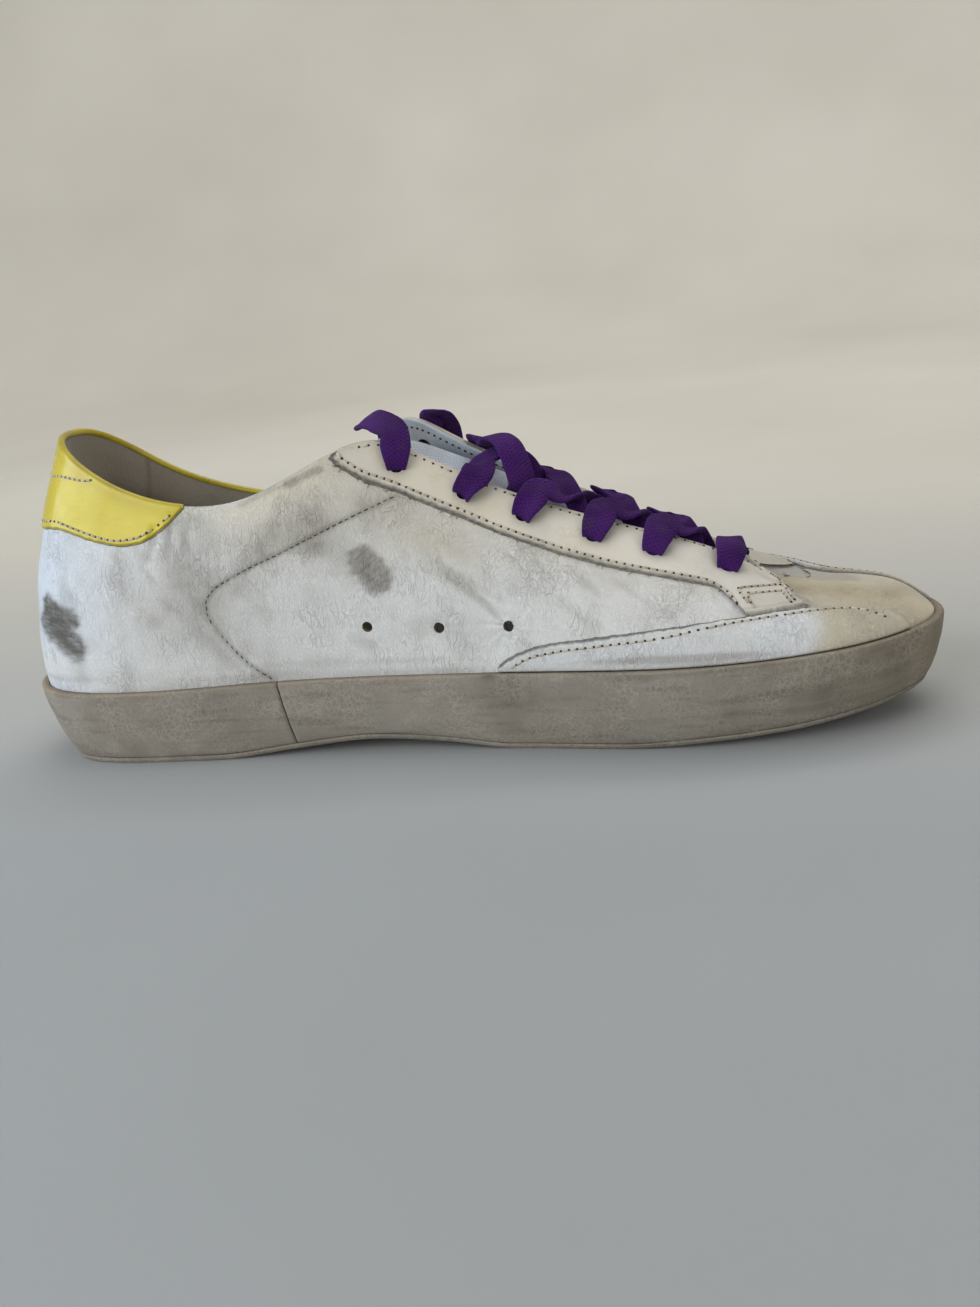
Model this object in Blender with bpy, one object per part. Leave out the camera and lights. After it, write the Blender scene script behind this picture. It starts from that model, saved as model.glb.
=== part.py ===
"""Low lace-up sneaker for the left foot, worn out.

Metres, +Z up, heel at -X, toe at +X, inner side of the foot at -Y.
Every section of the shoe is a row of LAST: a row's t runs from 0 at the heel
to 1 at the toe along the inner side, and 2 - t runs back along the outer side.
"""
import bpy
import bmesh
import numpy as np
from mathutils import Matrix, Vector

# Named sizes
SOLE_LENGTH = 0.292        # heel to toe over the side strip, about
BALL_WIDTH = 0.098         # width that the plan columns are shares of
HEEL_HEIGHT = 0.102        # ground to the top of the heel
INSTEP_HEIGHT = 0.094      # ground to the top of the throat
SIDE_HEIGHT = 0.026        # height of the rubber side
STRIP_THICKNESS = 0.0023   # rubber strip wrapped round the sole
RIM_HEIGHT = 0.0020        # outsole edge that shows under the strip
UPPER_WALL = 0.0022        # leather and lining
OVERLAY_THICKNESS = 0.0012  # heel tab, facings and mudguards
INSOLE_THICKNESS = 0.0040
TONGUE_THICKNESS = 0.0035
EYELET_BORE = 0.0042
VENT_BORE = 0.0032
LACE_WIDTH = 0.0075
LACE_THICKNESS = 0.0014
LACE_STANDOFF = 0.0007     # lace over the facing
LOOP_RISE = 0.0130         # slack loop over the other lace
GROOVE_DEPTH = 0.0015
GROOVE_WIDTH = 0.0030
LUG_PITCH = 0.0090
TREAD_BORDER = 0.0070
SEAM_CLEARANCE = 0.0004    # butt seam of the strip
GAP = 0.0003               # between touching pieces

LEDGE = GAP + STRIP_THICKNESS   # face of the strip, out from the upper
STATIONS = 80                   # round the shoe
MARGIN = 0.42                   # share of the side that the upper reaches down
TUCK_POWER = 2.2                # how the side curves in under the shoe
SEAM_AT = 0.37                  # butt seam, inner side of the arch


def table(names, rows):
    return np.array([tuple(row) for row in rows],
                    dtype=[(name, float) for name in names.split()])


# foot_x and edge_x: shares of SOLE_LENGTH. foot_in .. edge_out: shares of
# BALL_WIDTH. top_in, top_out: shares of HEEL_HEIGHT behind t = 0.4 and of
# INSTEP_HEIGHT in front. flare and lean: degrees. low, high: pull of the wall
# curve. tuck: share of SIDE_HEIGHT that the side comes in by at the ground.
LAST = table(
    "t foot_x foot_in foot_out edge_x edge_in edge_out top_in top_out flare low lean high tuck", [
        (0.00, .013, .000, .000, .079, .000, .000, 1.006, 1.006, 6, .36, 24, .30, .47),
        (0.05, .021, .153, .153, .086, .102, .102, 0.998, 0.992, 6, .36, 22, .30, .41),
        (0.10, .044, .255, .255, .106, .189, .189, 0.966, 0.937, 6, .36, 18, .30, .27),
        (0.17, .096, .321, .327, .147, .265, .265, 0.897, 0.833, 7, .36, 12, .30, .18),
        (0.27, .205, .337, .352, .223, .316, .316, 0.809, 0.732, 8, .34, 10, .30, .17),
        (0.37, .322, .321, .367, .312, .301, .306, 0.794, 0.706, 8, .34, 14, .30, .19),
        (0.46, .435, .321, .398, .394, .240, .245, 0.957, 0.888, 8, .34, 24, .30, .22),
        (0.52, .510, .337, .429, .445, .153, .153, 0.989, 1.011, 8, .34, 36, .32, .25),
        (0.58, .575, .357, .459, .498, .128, .128, 0.915, 0.947, 8, .32, 46, .34, .28),
        (0.67, .675, .398, .495, .582, .122, .122, 0.780, 0.805, 8, .30, 52, .36, .31),
        (0.76, .767, .413, .495, .675, .117, .117, 0.666, 0.665, 6, .26, 56, .37, .32),
        (0.84, .856, .372, .413, .750, .097, .097, 0.580, 0.559, 4, .21, 57, .36, .31),
        (0.90, .916, .300, .303, .791, .071, .061, 0.517, 0.493, 2, .16, 58, .32, .29),
        (0.95, .956, .205, .190, .808, .044, .022, 0.473, 0.464, 0, .12, 60, .30, .26),
        (1.00, .982, .035, .035, .813, .018, .018, 0.449, 0.449, -3, .11, 62, .28, .24),
    ])
# Height of the ground line and of the top of the side, by x.
GROUND = table("x lift", [  # shares of SOLE_LENGTH
    (0.00, .000), (0.24, .000), (0.33, .008), (0.41, .014), (0.49, .009), (0.57, .000),
    (0.68, .000), (0.76, .005), (0.84, .011), (0.91, .019), (0.96, .027), (1.00, .035)])
SIDE_TOP = table("x height", [  # x share of SOLE_LENGTH, height of SIDE_HEIGHT
    (0.00, 1.00), (0.05, 0.97), (0.15, 0.95), (0.23, 0.96), (0.32, .980), (0.50, .985),
    (0.67, 1.00), (0.80, 1.02), (0.90, 1.05), (0.96, 1.08), (1.00, 1.105)])
SIDE_ROWS = np.array([0, .21, .42, .62, .82])
# Overlays as places on the upper: t along it, v from the ledge (0) to the edge (1).
HEEL_TAB = table("t low high", [
    (0.000, .590, .985), (0.040, .610, .985), (0.080, .645, .985), (0.120, .685, .985),
    (0.173, .700, .985), (0.210, .715, .985), (0.245, .765, .985), (0.270, .845, .985),
    (0.292, .945, .985)])
FACING = table("low_t low_v mid_t mid_v high_t high_v", [
    (.478, .965, .479, .975, .480, .985), (.494, .900, .495, .945, .496, .985),
    (.530, .812, .530, .900, .530, .985), (.570, .795, .569, .890, .568, .985),
    (.610, .765, .608, .875, .606, .985), (.650, .748, .648, .865, .645, .985),
    (.700, .698, .695, .840, .690, .985), (.750, .662, .742, .825, .735, .985),
    (.797, .628, .785, .808, .775, .985), (.822, .598, .809, .795, .800, .985),
    (.8225, .372, .822, .700, .815, .985), (.840, .388, .845, .700, .845, .985),
    (.858, .405, .875, .700, .880, .985), (.875, .418, .928, .700, .938, .980)])
MUDGUARD = table("t low high", [
    (0.572, .015, .045), (0.588, .015, .095), (0.623, .015, .130), (0.672, .015, .170),
    (0.723, .015, .205), (0.772, .015, .270), (0.820, .015, .325), (0.875, .015, .385),
    (0.908, .015, .370), (0.925, .015, .300), (0.932, .015, .160)])
EYELETS = table("t v", [
    (.545, .890), (.618, .885), (.677, .870), (.740, .850), (.792, .825), (.862, .790)])
VENTS = table("t v", [(.460, .230), (.522, .195), (.593, .220)])
TONGUE = table("t drop tuck half", [  # drop, tuck: shares of INSTEP_HEIGHT; half: v of its side
    (0.545, .085, .040, .74), (0.600, .060, .026, .72), (0.680, .042, .014, .70),
    (0.760, .034, .011, .70), (0.850, .030, .011, .72), (0.940, .030, .011, .76)])

LEATHER = ("leather", (0.80, 0.77, 0.70), 0.45)
CREAM = ("leather_cream", (0.76, 0.71, 0.60), 0.45)
YELLOW = ("leather_yellow", (0.80, 0.62, 0.07), 0.25)
RUBBER = ("rubber_side", (0.42, 0.38, 0.32), 0.70)
TREAD = ("rubber_tread", (0.30, 0.27, 0.23), 0.80)
LINING = ("lining", (0.45, 0.42, 0.37), 0.90)
TEXTILE = ("tongue_textile", (0.62, 0.66, 0.72), 0.85)
COTTON = ("lace_cotton", (0.13, 0.05, 0.24), 0.90)


def periodic(knots, values, at):
    """Closed cubic spline of period 2 through values at the knots."""
    count = len(knots)
    step = np.diff(np.append(knots, knots[0] + 2.0))
    slope = (np.roll(values, -1) - values) / step
    matrix = np.zeros((count, count))
    index = np.arange(count)
    matrix[index, index] = 2 * (step + np.roll(step, 1))
    matrix[index, (index + 1) % count] += step
    matrix[index, (index - 1) % count] += np.roll(step, 1)
    bend = np.linalg.solve(matrix, 6 * (slope - np.roll(slope, 1)))
    at = np.mod(np.asarray(at, float) - knots[0], 2.0) + knots[0]
    j = np.clip(np.searchsorted(knots, at, side="right") - 1, 0, count - 1)
    s, h = at - knots[j], step[j]
    bend_next, next_value = np.roll(bend, -1)[j], np.roll(values, -1)[j]
    return (values[j] + s * ((next_value - values[j]) / h - h * (2 * bend[j] + bend_next) / 6)
            + s * s * bend[j] / 2 + s ** 3 * (bend_next - bend[j]) / (6 * h))


def around(at, inner, outer=None, signed=False, scale=1.0):
    """A column of LAST round the shoe: inner side to t = 1, outer side after."""
    t = LAST["t"]
    knots = np.append(t, (2 - t[1:-1])[::-1])
    scale = np.broadcast_to(scale, t.shape)
    values = np.append(LAST[inner] * scale, (LAST[outer or inner] * scale)[1:-1][::-1])
    if signed:
        values = values * np.where(knots <= 1, -1, 1)
    return periodic(knots, values, at)


def smooth(knots, values, at):
    """Cubic through the values, level wherever the table is level or turns."""
    knots, values = np.asarray(knots, float), np.asarray(values, float)
    step = np.diff(knots)
    rise = np.diff(values) / step
    slope = np.zeros(len(knots))
    same = rise[:-1] * rise[1:] > 0
    mean = (step[:-1] + step[1:])[same] * 3
    first, second = (2 * step[1:] + step[:-1])[same], (step[1:] + 2 * step[:-1])[same]
    slope[1:-1][same] = mean / (first / rise[:-1][same] + second / rise[1:][same])
    slope[0], slope[-1] = rise[0], rise[-1]
    at = np.asarray(at, float)
    j = np.clip(np.searchsorted(knots, at, side="right") - 1, 0, len(step) - 1)
    h = step[j]
    s = np.clip((at - knots[j]) / h, 0, 1)
    return (values[j] * (2 * s ** 3 - 3 * s ** 2 + 1) + h * slope[j] * (s ** 3 - 2 * s ** 2 + s)
            + values[j + 1] * (3 * s ** 2 - 2 * s ** 3) + h * slope[j + 1] * (s ** 3 - s ** 2))


def ground(x):
    return smooth(GROUND["x"], GROUND["lift"], x / SOLE_LENGTH) * SOLE_LENGTH


def side_top(x):
    return smooth(SIDE_TOP["x"], SIDE_TOP["height"], x / SOLE_LENGTH) * SIDE_HEIGHT


def foot(at):
    """Plan of the upper where it meets the ledge."""
    return (around(at, "foot_x") * SOLE_LENGTH,
            around(at, "foot_in", "foot_out", signed=True) * BALL_WIDTH)


def outward(at, step=1e-3):
    ax, ay = foot(at - step)
    bx, by = foot(at + step)
    length = np.hypot(bx - ax, by - ay)
    return (by - ay) / length, -(bx - ax) / length


def side(at, s, out):
    """Point of the sole's side: s from the ledge (0) to the ground (1)."""
    x, y = foot(at)
    nx, ny = outward(at)
    tuck = around(at, "tuck") * SIDE_HEIGHT
    low = ground(x + nx * (LEDGE - tuck))
    high = side_top(x)
    reach = out - tuck * np.abs(s) ** TUCK_POWER
    return np.stack([x + nx * reach, y + ny * reach, high - s * (high - low)], -1)


def rim_share(at):
    """Where the outsole's rim starts on the side, as s."""
    x, _ = foot(at)
    nx, _ = outward(at)
    low = ground(x + nx * (LEDGE - around(at, "tuck") * SIDE_HEIGHT))
    return 1 - RIM_HEIGHT / (side_top(x) - low)


def upper(at, v):
    """Outer face of the upper: v 0 at the ledge, 1 at the edge, below 0 in the sole."""
    at, v = np.broadcast_arrays(np.asarray(at, float), np.asarray(v, float))
    x, y = foot(at)
    nx, ny = outward(at)
    tall = np.where(LAST["t"] < 0.4, HEEL_HEIGHT, INSTEP_HEIGHT)
    start = np.stack([x, y, side_top(x)], -1)
    end = np.stack([around(at, "edge_x") * SOLE_LENGTH,
                    around(at, "edge_in", "edge_out", signed=True) * BALL_WIDTH,
                    around(at, "top_in", "top_out", scale=tall)], -1)
    span = np.linalg.norm(end - start, axis=-1)[..., None]
    out = np.stack([nx, ny, 0 * nx], -1)
    up = np.array([0.0, 0.0, 1.0])
    flare, lean = np.radians(around(at, "flare"))[..., None], np.radians(around(at, "lean"))[..., None]
    first = start + around(at, "low")[..., None] * span * (up * np.cos(flare) + out * np.sin(flare))
    second = end - around(at, "high")[..., None] * span * (up * np.cos(lean) - out * np.sin(lean))
    s = np.maximum(v, 0)[..., None]
    wall = (start * (1 - s) ** 3 + 3 * first * s * (1 - s) ** 2
            + 3 * second * s * s * (1 - s) + end * s ** 3)
    margin = side(at, np.maximum(-v, 0) * MARGIN, 0.0)
    return np.where((v < 0)[..., None], margin, wall)


def unit(vectors):
    return vectors / np.linalg.norm(vectors, axis=-1)[..., None]


def normal(at, v, step=4e-3):
    """Outward normal of the upper."""
    along = upper(at + step, v) - upper(at - step, v)
    rise = upper(at, v + step * 3) - upper(at, v - step * 3)
    return unit(np.cross(along, rise))


def off(at, v, distance):
    return upper(at, v) + normal(at, v) * np.asarray(distance)[..., None]


def ladder(ring, rungs):
    """Rungs across a closed ring, from its inner to its outer side."""
    count = len(ring) - 1
    left = ring[:count // 2 + 1]
    right = ring[count - np.arange(count // 2 + 1)]
    w = np.linspace(0, 1, rungs + 1)[None, :, None]
    return left[:, None] * (1 - w) + right[:, None] * w


def shell(outer, inner):
    """Patches of a slab between two grids; a closed first axis has no ends."""
    patches = [outer, inner, np.stack([outer[:, 0], inner[:, 0]], 1),
               np.stack([outer[:, -1], inner[:, -1]], 1)]
    if np.abs(outer[0] - outer[-1]).max() > 1e-7:
        patches += [np.stack([outer[0], inner[0]], 1), np.stack([outer[-1], inner[-1]], 1)]
    return patches


def weld(patches):
    """One list of points and faces for grids that share their borders."""
    points, faces, start = [], [], 0
    for grid in patches:
        rows, columns = grid.shape[:2]
        points.append(grid.reshape(-1, 3))
        i, j = np.meshgrid(np.arange(rows - 1), np.arange(columns - 1), indexing="ij")
        a = (i * columns + j).ravel() + start
        faces.append(np.stack([a, a + columns, a + columns + 1, a + 1], -1))
        start += rows * columns
    points, faces = np.concatenate(points), np.concatenate(faces)
    _, first, same = np.unique(np.round(points, 7), axis=0, return_index=True, return_inverse=True)
    same = same.ravel()
    polygons = []
    for face in same[faces]:
        polygon = [int(p) for k, p in enumerate(face) if p != face[k - 1]]
        if len(set(polygon)) > 2:
            polygons.append(polygon)
    return points[first], polygons


def strip(points, ups, width, thickness, rows=10):
    """A flat band through points, its flat side facing along ups."""
    points, ups = np.asarray(points), np.asarray(ups)
    knots = np.append(0, np.cumsum(np.linalg.norm(np.diff(points, axis=0), axis=1)))
    at = np.linspace(0, knots[-1], rows)
    slope = np.gradient(points, knots, axis=0)
    j = np.clip(np.searchsorted(knots, at, side="right") - 1, 0, len(knots) - 2)
    h = (knots[j + 1] - knots[j])[:, None]
    s = ((at - knots[j])[:, None]) / h
    path = (points[j] * (2 * s ** 3 - 3 * s ** 2 + 1) + h * slope[j] * (s ** 3 - 2 * s ** 2 + s)
            + points[j + 1] * (3 * s ** 2 - 2 * s ** 3) + h * slope[j + 1] * (s ** 3 - s ** 2))
    facing = np.stack([np.interp(at, knots, ups[:, k]) for k in range(3)], -1)
    ahead = unit(np.gradient(path, axis=0))
    across = unit(np.cross(ahead, facing))
    over = np.cross(across, ahead)
    corner = [(-.5, 0), (-.4, .5), (.4, .5), (.5, 0), (.4, -.5), (-.4, -.5), (-.5, 0)]
    loop = np.stack([path + across * (a * width) + over * (b * thickness) for a, b in corner], 1)
    ends = []
    for k in (0, -1):
        ring = loop[k, :-1]
        ends.append(np.stack([ring[[0, 1, 2, 3]], ring[[0, 5, 4, 3]]], 1))
    return [loop] + ends


def lace(first, second, rise, over=False, slant=0.25):
    """Band out of one eyelet, over its edge and across, to end over or under the other edge."""
    lift = GAP + OVERLAY_THICKNESS + LACE_STANDOFF + LACE_THICKNESS / 2
    up = np.array([0, 0, 1.0])
    (t1, v1), (t2, v2) = first, second
    share = (min(t2, 2 - t2) - min(t1, 2 - t1)) * slant
    s1, s2 = t1 + np.sign(1 - t1) * share, t2 - np.sign(1 - t2) * share
    slack = rise / LACE_WIDTH
    points = [off(t1, v1 + .035, lift * (1 + .04 * slack)), off(s1, 0.99, lift * (1.1 + .4 * slack))]
    ways = [normal(t1, v1), unit(normal(t1, 0.95) + up), up, unit(normal(t2, 0.95) + up)]
    edge1, edge2 = upper(s1, 1.0), upper(s2, 1.0)
    aside = unit(edge1 - edge2)
    arch = aside * slack
    ways[1], ways[3] = unit(ways[1] + arch), unit(ways[3] - arch)
    if over:
        last = [off(s2, 0.99, lift * 1.1), off(t2, v2 + .035, lift)]
        ways.append(normal(t2, v2))
    else:
        last = [edge2 + aside * LACE_WIDTH * (.80 - .10 * slack) - up * LACE_THICKNESS * .6 * (1 - slack)]
    points += [(points[1] + last[0]) / 2 + up * rise] + last
    return strip(points, ways, LACE_WIDTH, LACE_THICKNESS)


def lace_end_over(t, v, across_t):
    """Free end out of an inner top eyelet, over both edges and down outside."""
    lift = GAP + OVERLAY_THICKNESS + LACE_STANDOFF + LACE_THICKNESS / 2
    up = np.array([0, 0, 1.0])
    first, last = off(t, .99, lift * 1.1), off(2 - across_t, .99, lift * 1.2)
    return strip([off(t, v + .035, lift), first, (first + last) / 2 + up * LACE_THICKNESS, last,
                  off(2 - across_t, .90, lift * 1.1)],
                 [normal(t, v), unit(normal(t, .95) + up), up, unit(normal(2 - across_t, .95) + up),
                  normal(2 - across_t, .90)], LACE_WIDTH, LACE_THICKNESS, rows=14)


def lace_end_down(t, v, low):
    """Free end out of an outer top eyelet, down the side of the upper."""
    lift = GAP + OVERLAY_THICKNESS + LACE_STANDOFF + LACE_THICKNESS / 2
    fall = np.linspace(0, 1, 7)
    at, height = t + .022 * fall ** 2, v - .035 + (low - v + .035) * fall
    return strip(off(at, height, lift * (1 - .25 * fall)), normal(at, height),
                 LACE_WIDTH, LACE_THICKNESS, rows=12)


def outsole():
    at = np.linspace(0, 2, STATIONS + 1)
    rows = [side(at, MARGIN + 1.2 * GAP / SIDE_HEIGHT, 0.0)]
    rows += [side(at, s, 0.0) for s in SIDE_ROWS if s > MARGIN + .01]
    rim = rim_share(at)
    rows += [side(at, rim, 0.0), side(at, rim, LEDGE), side(at, 1.0, LEDGE)]
    return [np.stack(rows, 1), ladder(rows[0], 3), ladder(rows[-1], 4)]


def grooves():
    """Comb from below whose teeth cut the grooves between the lugs."""
    half = np.linspace(0, 1, STATIONS + 1)
    inner, outer = side(half, 1.0, LEDGE), side(2 - half, 1.0, LEDGE)
    heel = np.arange(0.115 * SOLE_LENGTH, 0.30 * SOLE_LENGTH, LUG_PITCH)
    ball = np.arange(0.560 * SOLE_LENGTH, 0.90 * SOLE_LENGTH, LUG_PITCH)
    wall = GROOVE_WIDTH * .15
    x, deep = [heel[0] - GROOVE_WIDTH * 1.5], [False]
    for centre in np.append(heel, ball):
        x += [centre - GROOVE_WIDTH / 2 - wall, centre - GROOVE_WIDTH / 2,
              centre + GROOVE_WIDTH / 2, centre + GROOVE_WIDTH / 2 + wall]
        deep += [False, True, True, False]
    x = np.array(x + [ball[-1] + GROOVE_WIDTH * 1.5])
    deep = np.array(deep + [False])
    top = ground(x) + np.where(deep, GROOVE_DEPTH, -GROOVE_DEPTH)
    low = ground(x) - GROOVE_DEPTH * 4
    y0 = np.interp(x, inner[:, 0], inner[:, 1]) + TREAD_BORDER
    y1 = np.interp(x, outer[:, 0], outer[:, 1]) - TREAD_BORDER
    under = np.stack([np.stack([x, y0, low], -1), np.stack([x, y1, low], -1)], 1)
    over = np.stack([np.stack([x, y0, top], -1), np.stack([x, y1, top], -1)], 1)
    return shell(over, under)


def foxing():
    """Side strip, open at its butt seam."""
    ring = np.linspace(0, 2, STATIONS + 1)
    cut = SEAM_CLEARANCE / SOLE_LENGTH
    ring = np.concatenate([ring[ring > SEAM_AT + .005], ring[1:] + 2])
    at = np.concatenate([[SEAM_AT + cut], ring[ring < 2 + SEAM_AT - .005], [2 + SEAM_AT - cut]])
    end = rim_share(at) - 1.2 * GAP / SIDE_HEIGHT
    outer = [side(at, 0.0, LEDGE * .8), side(at, .03, LEDGE)] + [side(at, s, LEDGE) for s in SIDE_ROWS[1:]]
    inner = [side(at, s, GAP) for s in SIDE_ROWS]
    inner = [inner[0], side(at, .03, GAP)] + inner[1:]
    return shell(np.stack(outer + [side(at, end, LEDGE)], 1), np.stack(inner + [side(at, end, GAP)], 1))


def insole():
    at = np.linspace(0, 2, STATIONS + 1)
    inset = -(UPPER_WALL + 2.5 * GAP)
    low = side(at, MARGIN, inset)
    high = low + np.array([0, 0, INSOLE_THICKNESS])
    return [np.stack([low, high], 1), ladder(low, 3), ladder(high, 3)]


def upper_shell():
    at = np.linspace(0, 2, STATIONS + 1)[:, None]
    v = np.concatenate([-SIDE_ROWS[2:0:-1] / MARGIN, np.linspace(0, 1, 10)])[None, :]
    outer = upper(at, v)
    inner = outer - normal(at, v) * UPPER_WALL
    outer[-1], inner[-1] = outer[0], inner[0]
    return shell(outer, inner)


def overlay(at, v):
    return shell(off(at, v, GAP + OVERLAY_THICKNESS), off(at, v, GAP))


def heel_tab():
    t = np.linspace(-HEEL_TAB["t"][-1], HEEL_TAB["t"][-1], 29)[:, None]
    low = smooth(HEEL_TAB["t"], HEEL_TAB["low"], np.abs(t))
    high = smooth(HEEL_TAB["t"], HEEL_TAB["high"], np.abs(t))
    return overlay(t, low + (high - low) * np.linspace(0, 1, 5)[None, :])


def facing(outer_side):
    w = np.linspace(0, 1, 5)[None, :]
    rows = FACING
    along = np.arange(len(rows))
    fine = np.unique(np.concatenate([along, along[2:9] + .5, [10.5, 11.5, 12.33, 12.67]]))[:, None]
    value = {name: np.interp(fine, along, rows[name]) for name in rows.dtype.names}
    blend = lambda a, b, c: a * (1 - w) ** 2 + (4 * b - a - c) * w * (1 - w) + c * w ** 2
    t = blend(value["low_t"], value["mid_t"], value["high_t"])
    v = blend(value["low_v"], value["mid_v"], value["high_v"])
    return overlay(2 - t if outer_side else t, v)


def mudguard(outer_side):
    t = np.linspace(MUDGUARD["t"][0], MUDGUARD["t"][-1], 19)[:, None]
    low = smooth(MUDGUARD["t"], MUDGUARD["low"], t)
    high = smooth(MUDGUARD["t"], MUDGUARD["high"], t)
    return overlay(2 - t if outer_side else t, low + (high - low) * np.linspace(0, 1, 4)[None, :])


def tongue():
    t = np.linspace(TONGUE["t"][0], TONGUE["t"][-1], 13)
    drop = smooth(TONGUE["t"], TONGUE["drop"], t) * INSTEP_HEIGHT
    tuck = smooth(TONGUE["t"], TONGUE["tuck"], t) * INSTEP_HEIGHT
    half = smooth(TONGUE["t"], TONGUE["half"], t)
    near = [off(t, half + (1 - half) * k, -(UPPER_WALL + tuck)) for k in (0, .5, 1)]
    far = [off(2 - t, half + (1 - half) * k, -(UPPER_WALL + tuck)) for k in (1, .5, 0)]
    middle = (upper(t, np.ones_like(t)) + upper(2 - t, np.ones_like(t))) / 2
    middle = middle - np.array([0, 0, 1.0]) * (UPPER_WALL + drop)[:, None]
    top = np.stack(near + [middle] + far, 1)
    knots, fine = np.arange(7.0), np.linspace(0, 6, 9)
    slope = np.gradient(top, axis=1)
    j = np.clip(fine.astype(int), 0, 5)
    s = (fine - j)[None, :, None]
    top = (top[:, j] * (2 * s ** 3 - 3 * s ** 2 + 1) + slope[:, j] * (s ** 3 - 2 * s ** 2 + s)
           + top[:, j + 1] * (3 * s ** 2 - 2 * s ** 3) + slope[:, j + 1] * (s ** 3 - s ** 2))
    facing_up = unit(np.cross(np.gradient(top, axis=0), np.gradient(top, axis=1)))
    facing_up = facing_up * np.sign(facing_up[..., 2:].mean())
    return shell(top, top - facing_up * TONGUE_THICKNESS)


def make(name, patches, look, origin):
    points, faces = weld(patches)
    mesh = bpy.data.meshes.new(name)
    mesh.from_pydata((points - origin).tolist(), [], faces)
    shape = bmesh.new()
    shape.from_mesh(mesh)
    bmesh.ops.recalc_face_normals(shape, faces=shape.faces)
    shape.to_mesh(mesh)
    shape.free()
    mesh.shade_smooth()
    mesh.set_sharp_from_angle(angle=np.radians(40))
    thing = bpy.data.objects.new(name, mesh)
    bpy.context.scene.collection.objects.link(thing)
    if look is None:
        thing.hide_render = True
        thing.display_type = "WIRE"
    else:
        mesh.materials.append(material(*look))
    return thing


def material(name, colour, roughness):
    if name in bpy.data.materials:
        return bpy.data.materials[name]
    made = bpy.data.materials.new(name)
    made.use_nodes = True
    shader = made.node_tree.nodes["Principled BSDF"]
    shader.inputs["Base Color"].default_value = (*colour, 1)
    shader.inputs["Roughness"].default_value = roughness
    shader.inputs["Metallic"].default_value = 0.0
    return made


def punch(name, t, v, bore, origin):
    """Cylinder through the wall at a place on the upper."""
    centre = upper(t, v) - origin
    turn = Vector(normal(t, v)).to_track_quat("Z", "Y").to_matrix().to_4x4()
    mesh = bpy.data.meshes.new(name)
    shape = bmesh.new()
    bmesh.ops.create_cone(shape, cap_ends=True, segments=10, radius1=bore / 2, radius2=bore / 2,
                          depth=(UPPER_WALL + OVERLAY_THICKNESS) * 3.2,
                          matrix=Matrix.Translation(Vector(centre)) @ turn)
    shape.to_mesh(mesh)
    shape.free()
    thing = bpy.data.objects.new(name, mesh)
    bpy.context.scene.collection.objects.link(thing)
    thing.hide_render = True
    thing.display_type = "WIRE"
    return thing


def combine(thing, other, operation):
    cut = thing.modifiers.new(other.name, "BOOLEAN")
    cut.operation = operation
    cut.object = other
    cut.solver = "EXACT"


def main():
    for old in list(bpy.data.objects):
        bpy.data.objects.remove(old)
    solids = {
        "outsole": (outsole(), TREAD), "foxing": (foxing(), RUBBER), "insole": (insole(), LINING),
        "upper": (upper_shell(), LEATHER), "tongue": (tongue(), TEXTILE),
        "heel_tab": (heel_tab(), YELLOW),
        "facing_medial": (facing(False), CREAM), "facing_lateral": (facing(True), CREAM),
        "mudguard_medial": (mudguard(False), LEATHER), "mudguard_lateral": (mudguard(True), LEATHER),
    }
    holes = [(float(row["t"]), float(row["v"])) for row in EYELETS]
    across = [(2 - t, v) for t, v in holes]
    solids["lace_bar_toe"] = (lace(holes[5], across[5], LACE_THICKNESS, over=True), COTTON)
    second = {}
    for k in range(1, 5):
        name = "lace_cross_%d_%d" % (k + 1, k + 2)
        solids[name] = (lace(holes[k], across[k + 1], LACE_THICKNESS * (1 if k > 1 else -1),
                             slant=0.25 if k > 1 else -0.25), COTTON)
        if k > 1:
            second[name] = lace(across[k], holes[k + 1], LACE_THICKNESS)
    solids["lace_loop"] = (lace(across[1], holes[2], LOOP_RISE, slant=-0.06), COTTON)
    solids["lace_end_medial"] = (lace_end_over(*holes[0], .516), COTTON)
    solids["lace_end_lateral"] = (lace_end_down(*across[0], .27), COTTON)

    every = np.concatenate([grid.reshape(-1, 3) for patches, _ in solids.values() for grid in patches])
    low, high = every.min(0), every.max(0)
    origin = np.array([(low[0] + high[0]) / 2, (low[1] + high[1]) / 2, low[2]])
    made = {name: make(name, patches, look, origin) for name, (patches, look) in solids.items()}

    combine(made["outsole"], make("cut_grooves", grooves(), None, origin), "DIFFERENCE")
    for name, patches in second.items():
        combine(made[name], make("join_" + name, patches, None, origin), "UNION")
    for number, (t, v) in enumerate(holes + across, 1):
        cutter = punch("cut_eyelet_%d" % number, t, v, EYELET_BORE, origin)
        combine(made["upper"], cutter, "DIFFERENCE")
        combine(made["facing_medial" if t < 1 else "facing_lateral"], cutter, "DIFFERENCE")
    for number, row in enumerate(VENTS, 1):
        cutter = punch("cut_vent_%d" % number, float(row["t"]), float(row["v"]), VENT_BORE, origin)
        combine(made["upper"], cutter, "DIFFERENCE")


main()
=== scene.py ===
"""Worn low lace-up sneaker, left foot: the dressed model over its packed solids."""

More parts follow.
